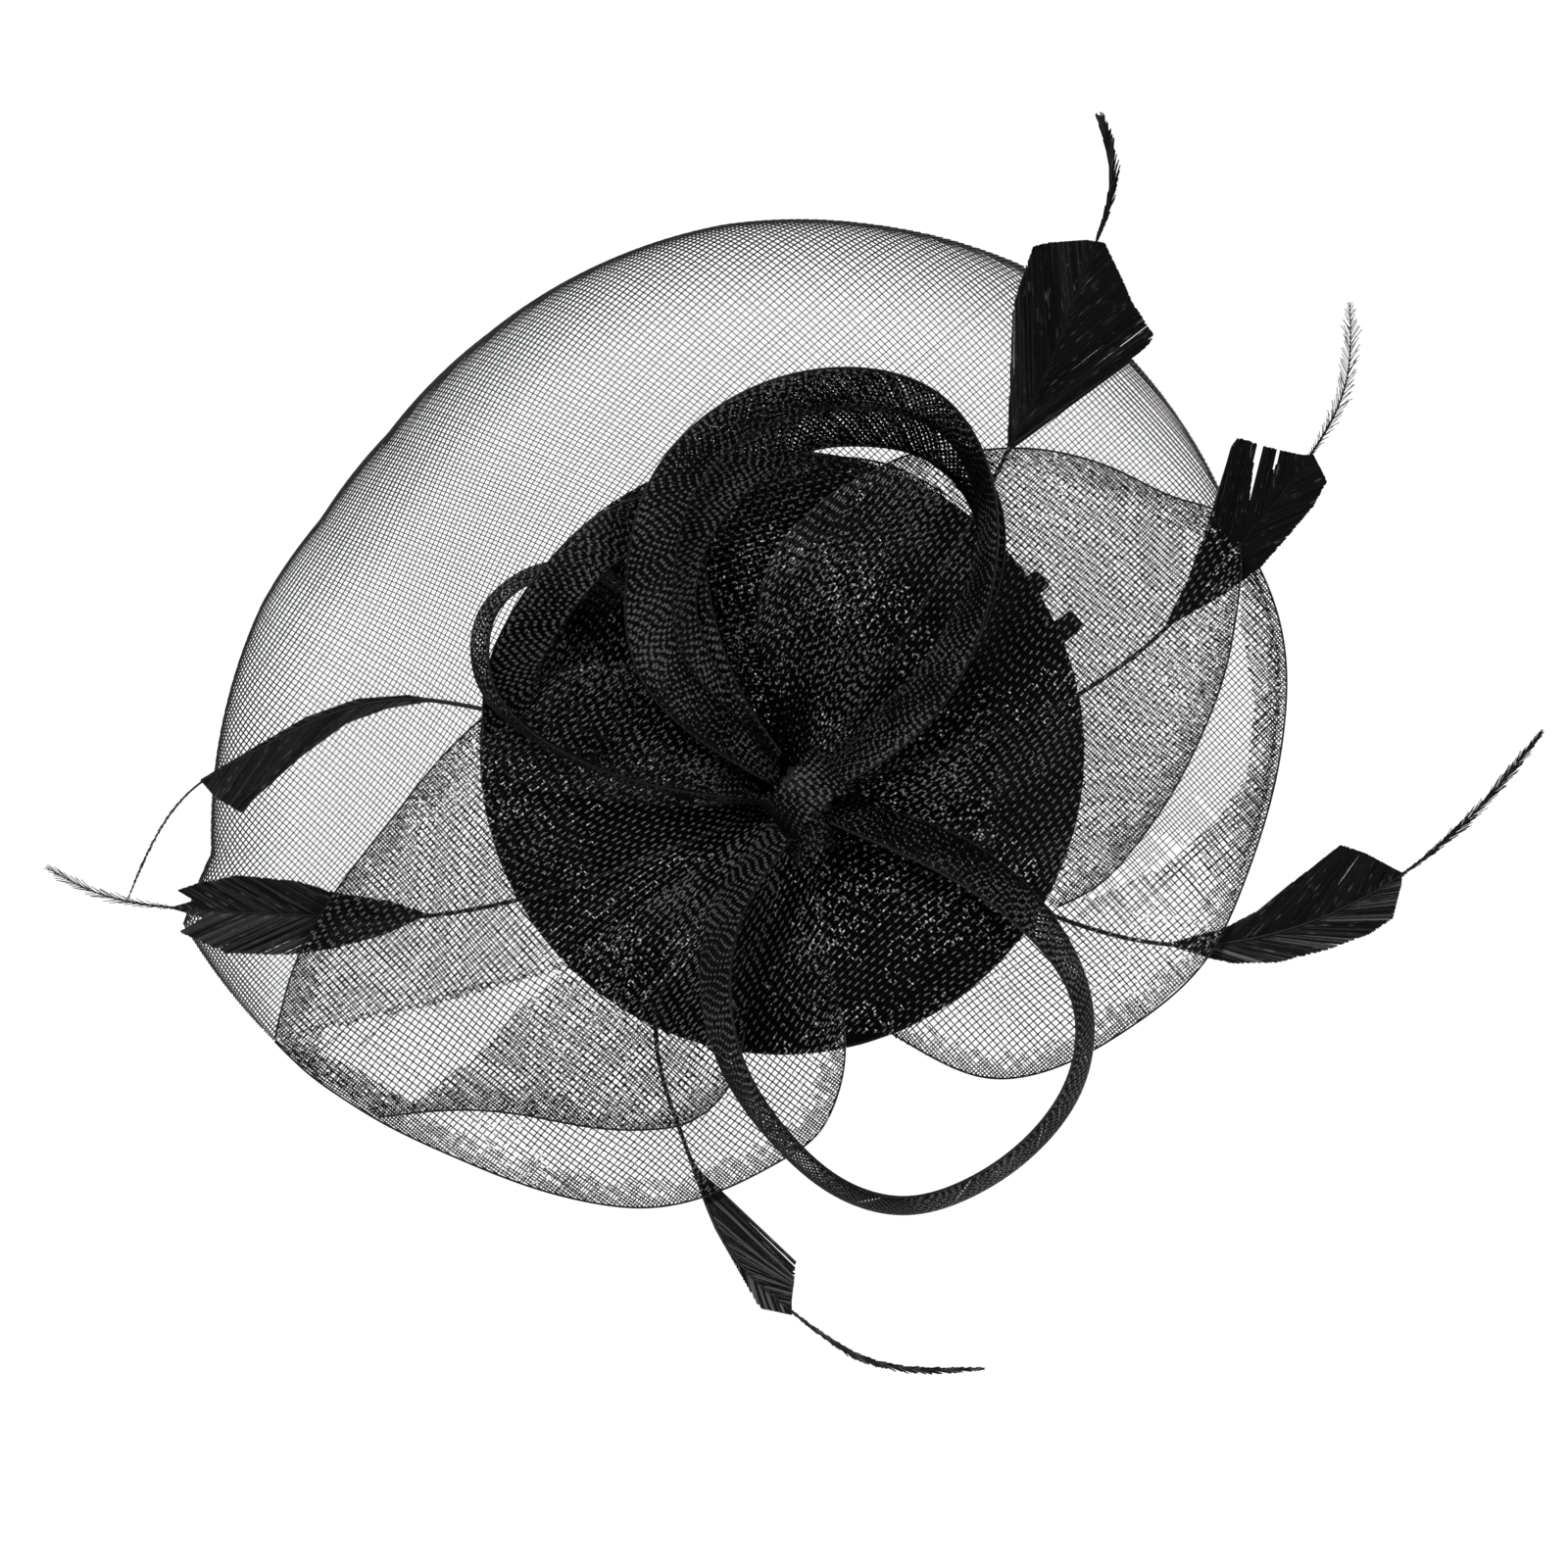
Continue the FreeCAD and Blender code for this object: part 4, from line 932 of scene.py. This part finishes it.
def knot_core():
    """The gathered roots as a bundle of pleats, closed over the top."""
    turn = np.linspace(0.0, 2 * math.pi, CORE_POINTS, endpoint=False)
    height = np.linspace(0.0, 1.0, CORE_ROWS)
    rings = []
    for share in height:
        belly = 0.82 + 0.16 * math.cos(math.pi * (share - 0.2))
        pleat = 1.0 + 0.07 * np.sin(12 * turn + 3 * share) + 0.03 * np.sin(29 * turn)
        dome = math.sqrt(max(0.0, 1.0 - max(0.0, (share - 0.8) / 0.2) ** 2))
        radius = KNOT_RADIUS * belly * pleat * dome
        level = np.full(CORE_POINTS, KNOT_FOOT + (KNOT_TOP - KNOT_FOOT) * share)
        x, y = KNOT[0] + radius * np.cos(turn), KNOT[1] + radius * np.sin(turn)
        rings.append(np.stack([x, y, level], axis=1))
    faces = ring_faces(CORE_ROWS, CORE_POINTS)
    faces.append(tuple(range(CORE_POINTS))[::-1])
    around = np.tile(np.arange(CORE_POINTS) * 2.0, CORE_ROWS)
    uv = np.stack([around, np.repeat(height * 28.0, CORE_POINTS)], axis=1)
    core = new_object("knot_pleats", np.concatenate(rings), faces, RIBBON, uv)
    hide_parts("knot_core", "knot_filling")


# ---- feathers

# Angles between barbs and shaft on its two sides, in degrees: even, but for one bent feather.
EVEN_BARBS = (27.0, 27.0)
BENT_BARBS = {"right": (34.0, 20.0)}

# Barbs: spacing along the shaft, the longest there are, and the width and thickness of one in the vane.
BARB_PITCH = 0.3 * MM
LONGEST_BARB = 48 * MM
BARB = (0.4 * MM, 0.12 * MM)
TIP_THICK = 0.1 * MM


def quill_line(points, slope):
    """Middle line of a quill, level under the petals and then up at its slope."""
    points = np.array(points, float) * MM
    bend = points[1]
    heading = unit(points[-2] - bend)
    rise = np.maximum(0.0, (points - bend) @ heading) * math.tan(math.radians(slope))
    outward = points[0] - KNOT
    root = KNOT + outward * (ROOT / np.linalg.norm(outward))
    flat = np.concatenate([root[None], points])
    heights = np.concatenate([[0.0], rise]) + FEATHER_LEVEL
    return spline(np.concatenate([flat, heights[:, None]], axis=1))


def crossing(start, way, outline):
    """Distance from a point to where a direction first leaves the outline of a vane, or nothing."""
    side = np.roll(outline, -1, axis=0) - outline
    gap = outline - start
    across = way[0] * side[:, 1] - way[1] * side[:, 0]
    across = np.where(np.abs(across) < 1e-12, np.nan, across)
    place = (gap[:, 0] * way[1] - gap[:, 1] * way[0]) / across
    reach = (gap[:, 0] * side[:, 1] - gap[:, 1] * side[:, 0]) / across
    reaches = np.sort(reach[(reach > 0.0) & (place >= 0.0) & (place <= 1.0)])
    if len(reaches) % 2 == 1:
        return reaches[0]
    return reaches[1] if len(reaches) and reaches[0] < 3 * MM else None


def turned(ahead, degrees):
    """A direction turned about the vertical."""
    along, aside = axes(degrees)
    return np.append(ahead[0] * along + ahead[1] * aside, ahead[2])


def barb(start, heading, length, lift, roll):
    """One barb: a thin strip that leaves the shaft, arched a little and rolled about its own line."""
    share = np.linspace(0.0, 1.0, 5)
    points = start + heading * (share * length)[:, None]
    points[:, 2] += lift * np.sin(share * math.pi / 2)
    aside = np.cross(heading, (0.0, 0.0, 1.0))
    normal = unit(np.array([0.0, 0.0, 1.0]) + aside * roll)
    return points, np.tile(normal, (len(share), 1))


def segment_at(run, at):
    """Number of the stretch of a line that holds a distance along it."""
    return min(int(np.searchsorted(run, at)), len(run) - 2)


def vane_barbs(middle, run, outline, angles, rng):
    """The barbs of a vane, from shaft to trimmed outline, and where along the shaft they end."""
    lines = []
    last = 0
    for at in np.arange(0.0, run[-1], BARB_PITCH):
        i = segment_at(run, at)
        ahead = middle[i + 1] - middle[i]
        ahead /= np.linalg.norm(ahead[:2])
        for way, angle in zip((1.0, -1.0), angles):
            heading = turned(ahead, way * (angle + rng.normal(0.0, 0.5)))
            reach = crossing(middle[i, :2], heading[:2], outline)
            if reach is None or reach > LONGEST_BARB:
                continue
            last = max(last, i)
            length = reach * (1.0 - abs(rng.normal(0.0, 0.01)))
            lift = rng.normal(0.2 * MM, 0.1 * MM)
            lines.append(barb(middle[i], heading, length, lift, rng.normal(0.0, 0.35)))
    return lines, last


def tip_barbs(middle, run, first, plume, rng):
    """Short loose barbs left on the tip past the trimmed vane."""
    length, spread, spacing, _ = plume
    lines = []
    start = run[first] - 1 * MM
    span = run[-1] - start
    for at in np.arange(start, run[-1] - 0.3 * length * MM, spacing * MM):
        i = segment_at(run, at)
        ahead = unit(middle[i + 1] - middle[i])
        full = min(1.0, 0.35 + 2.2 * (at - start) / span) * min(1.0, 0.25 + 3.0 * (run[-1] - at) / span)
        for way in (1.0, -1.0):
            heading = turned(ahead, way * spread * rng.uniform(0.6, 1.3))
            reach = max(0.4, length * full * rng.uniform(0.75, 1.15)) * MM
            lift = rng.normal(0.0, 0.1 * MM)
            lines.append(barb(middle[i], heading, reach, lift, rng.normal(0.0, 0.3)))
    return lines


def feather(name, points, slope, outline, plume, seed):
    """One trimmed feather: a tapered quill, the barbs of its vane, and loose barbs on its tip."""
    rng = np.random.default_rng(seed)
    middle = quill_line(points, slope)(np.linspace(0.0, 1.0, 400))
    run = run_of(middle)
    taper = np.interp(run / run[-1], [0.0, 0.5, 1.0], [0.55 * MM, 0.45 * MM, 0.1 * MM])
    piece = "feather_" + name
    quill = cord_along(middle[::3], taper[::3], piece + "_shaft", QUILL)
    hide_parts(piece + "_quill")
    angles = BENT_BARBS.get(name, EVEN_BARBS)
    lines, last = vane_barbs(middle, run, np.array(outline, float) * MM, angles, rng)
    vane = threads_piece(piece + "_barbs", lines, BARB, FEATHER)
    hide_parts(piece + "_vane")
    loose = tip_barbs(middle, run, last, plume, rng)
    threads_piece(piece + "_tip", loose, (plume[3] * MM, TIP_THICK), FEATHER)


# ---- covered base and clip

# The cover: radius of its rim, width of its hem, points round it, and puckers.
RIM = 1.6 * MM
HEM = 2.7 * MM
COVER_POINTS = 240
PUCKERS = 47


def cover_profile():
    """Outer line of the cover: from the inner edge of the hem, round the rolled rim and up the dome."""
    bend = BASE_RADIUS - RIM
    points = [(bend - HEM, 0.0), (bend - 1 * MM, 0.0)]
    for turn in np.radians(np.linspace(-90.0, 80.0, 14)):
        points.append((bend + RIM * math.cos(turn), RIM + RIM * math.sin(turn)))
    edge = points[-1]
    for share in np.linspace(0.06, 1.0, 36):
        rise = (BASE_TOP - edge[1]) * (1.0 - (1.0 - share) ** 2)
        points.append((edge[0] * (1.0 - share), edge[1] + rise))
    return points


def cover():
    """Cloth cover with small puckers where its hem is drawn in under the rim."""
    profile = cover_profile()
    turn = np.linspace(0.0, 2 * math.pi, COVER_POINTS, endpoint=False)
    rings = []
    for number, (radius, level) in enumerate(profile[:-1]):
        near_hem = math.exp(-number / 4.0)
        radii = radius + near_hem * 0.25 * MM * np.sin(PUCKERS * turn + 0.6 * np.sin(5 * turn))
        pull = near_hem * 0.12 * MM * (1.0 + np.sin(PUCKERS * turn))
        rings.append(np.stack([radii * np.cos(turn), radii * np.sin(turn), level + pull], axis=1))
    vertices = np.concatenate(rings + [np.array([[0.0, 0.0, profile[-1][1]]])])
    faces = ring_faces(len(rings), COVER_POINTS)
    last = (len(rings) - 1) * COVER_POINTS
    faces += [(last + c, last + (c + 1) % COVER_POINTS, len(vertices) - 1) for c in range(COVER_POINTS)]
    piece = new_object("cover_cloth", vertices, faces, COVER, vertices[:, :2] / MM)
    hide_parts("base_cover")


def dress_nodes():
    """Materials of the CAD pieces that show as they are."""
    looks = {"base_form": BUCKRAM, "base_lining": LINING, "base_rim_wire": STEEL, "felt_patch": FELT,
             "clip_plate": LACQUER, "clip_lever": LACQUER, "clip_hinge_pin": STEEL,
             "clip_spring": STEEL, "clip_stitches": STITCH}
    for name, material in looks.items():
        mesh = bpy.data.objects[name].data
        mesh.materials.clear()
        mesh.materials.append(material)
        if "Thread" not in mesh.uv_layers:
            mesh.uv_layers.new(name="Thread")


# ---- camera, floor and light

# The camera: its height, the width it sees at the foot of the base, its sensor, and where it looks.
CAMERA_DISTANCE = 4.0
VIEW_WIDTH = 0.3242
SENSOR_MM = 36.0
CAMERA_AIM = (0.4 * MM, -6.5 * MM)

# The floor and the lights.
FLOOR_SIZE = 12.0
FLOOR_GLOW = 0.99
LIGHT_AIM = (0.0, 0.0, 0.02)
LIGHT_SIZE = 0.4


def stage():
    """Pale floor that glows a little, so that it stays as bright under the net as beside it."""
    material, _, shader = principled("pale_floor", (0.12, 0.12, 0.12), 0.9, 0.0)
    set_inputs(shader, {"Emission Color": WHITE, "Emission Strength": FLOOR_GLOW})
    bpy.ops.mesh.primitive_grid_add(x_subdivisions=8, y_subdivisions=8, size=FLOOR_SIZE,
                                    location=(0.0, 0.0, FLOOR_LEVEL))
    floor = bpy.context.object
    floor.name = "floor"
    floor.data.materials.append(material)


def area_light(name, place, power):
    """A soft light that points at the object."""
    data = bpy.data.lights.new(name, "AREA")
    data.energy = power
    data.size = LIGHT_SIZE
    light = bpy.data.objects.new(name, data)
    light.location = place
    light.rotation_euler = (Vector(LIGHT_AIM) - Vector(place)).to_track_quat("-Z", "Y").to_euler()
    bpy.context.scene.collection.objects.link(light)


def lights():
    """Soft studio light from above and from both sides."""
    world = bpy.data.worlds.new("studio")
    bpy.context.scene.world = world
    world.use_nodes = True
    set_inputs(world.node_tree.nodes["Background"], {"Color": WHITE, "Strength": 0.1})
    area_light("key", (-0.5, 0.6, 1.6), 11.0)
    area_light("fill", (0.8, -0.3, 1.4), 5.0)


def camera():
    """Camera straight above the face of the base."""
    data = bpy.data.cameras.new("camera")
    data.sensor_width = SENSOR_MM
    data.lens = SENSOR_MM * CAMERA_DISTANCE / VIEW_WIDTH
    data.clip_end = 50.0
    thing = bpy.data.objects.new("camera", data)
    thing.location = (*CAMERA_AIM, CAMERA_DISTANCE)
    bpy.context.scene.collection.objects.link(thing)
    bpy.context.scene.camera = thing


camera()
stage()
lights()
bpy.context.scene.view_settings.view_transform = "Standard"
cover()
dress_nodes()
veil()
for seed, (name, shape) in enumerate(PETALS.items(), start=31):
    petal(name, *shape, seed)
for seed, (name, stations) in enumerate(LOOPS.items(), start=51):
    loop(name, stations, RIBBON_WIDTH[name], seed)
wrap = knot_strip("knot_wrap_threads", *WRAP, 21)
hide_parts("knot_wrap")
knot_strip("knot_second_strip", *SECOND_STRIP, 22)
knot_core()
for seed, (name, shape) in enumerate(FEATHERS.items(), start=71):
    feather(name, *shape, seed)
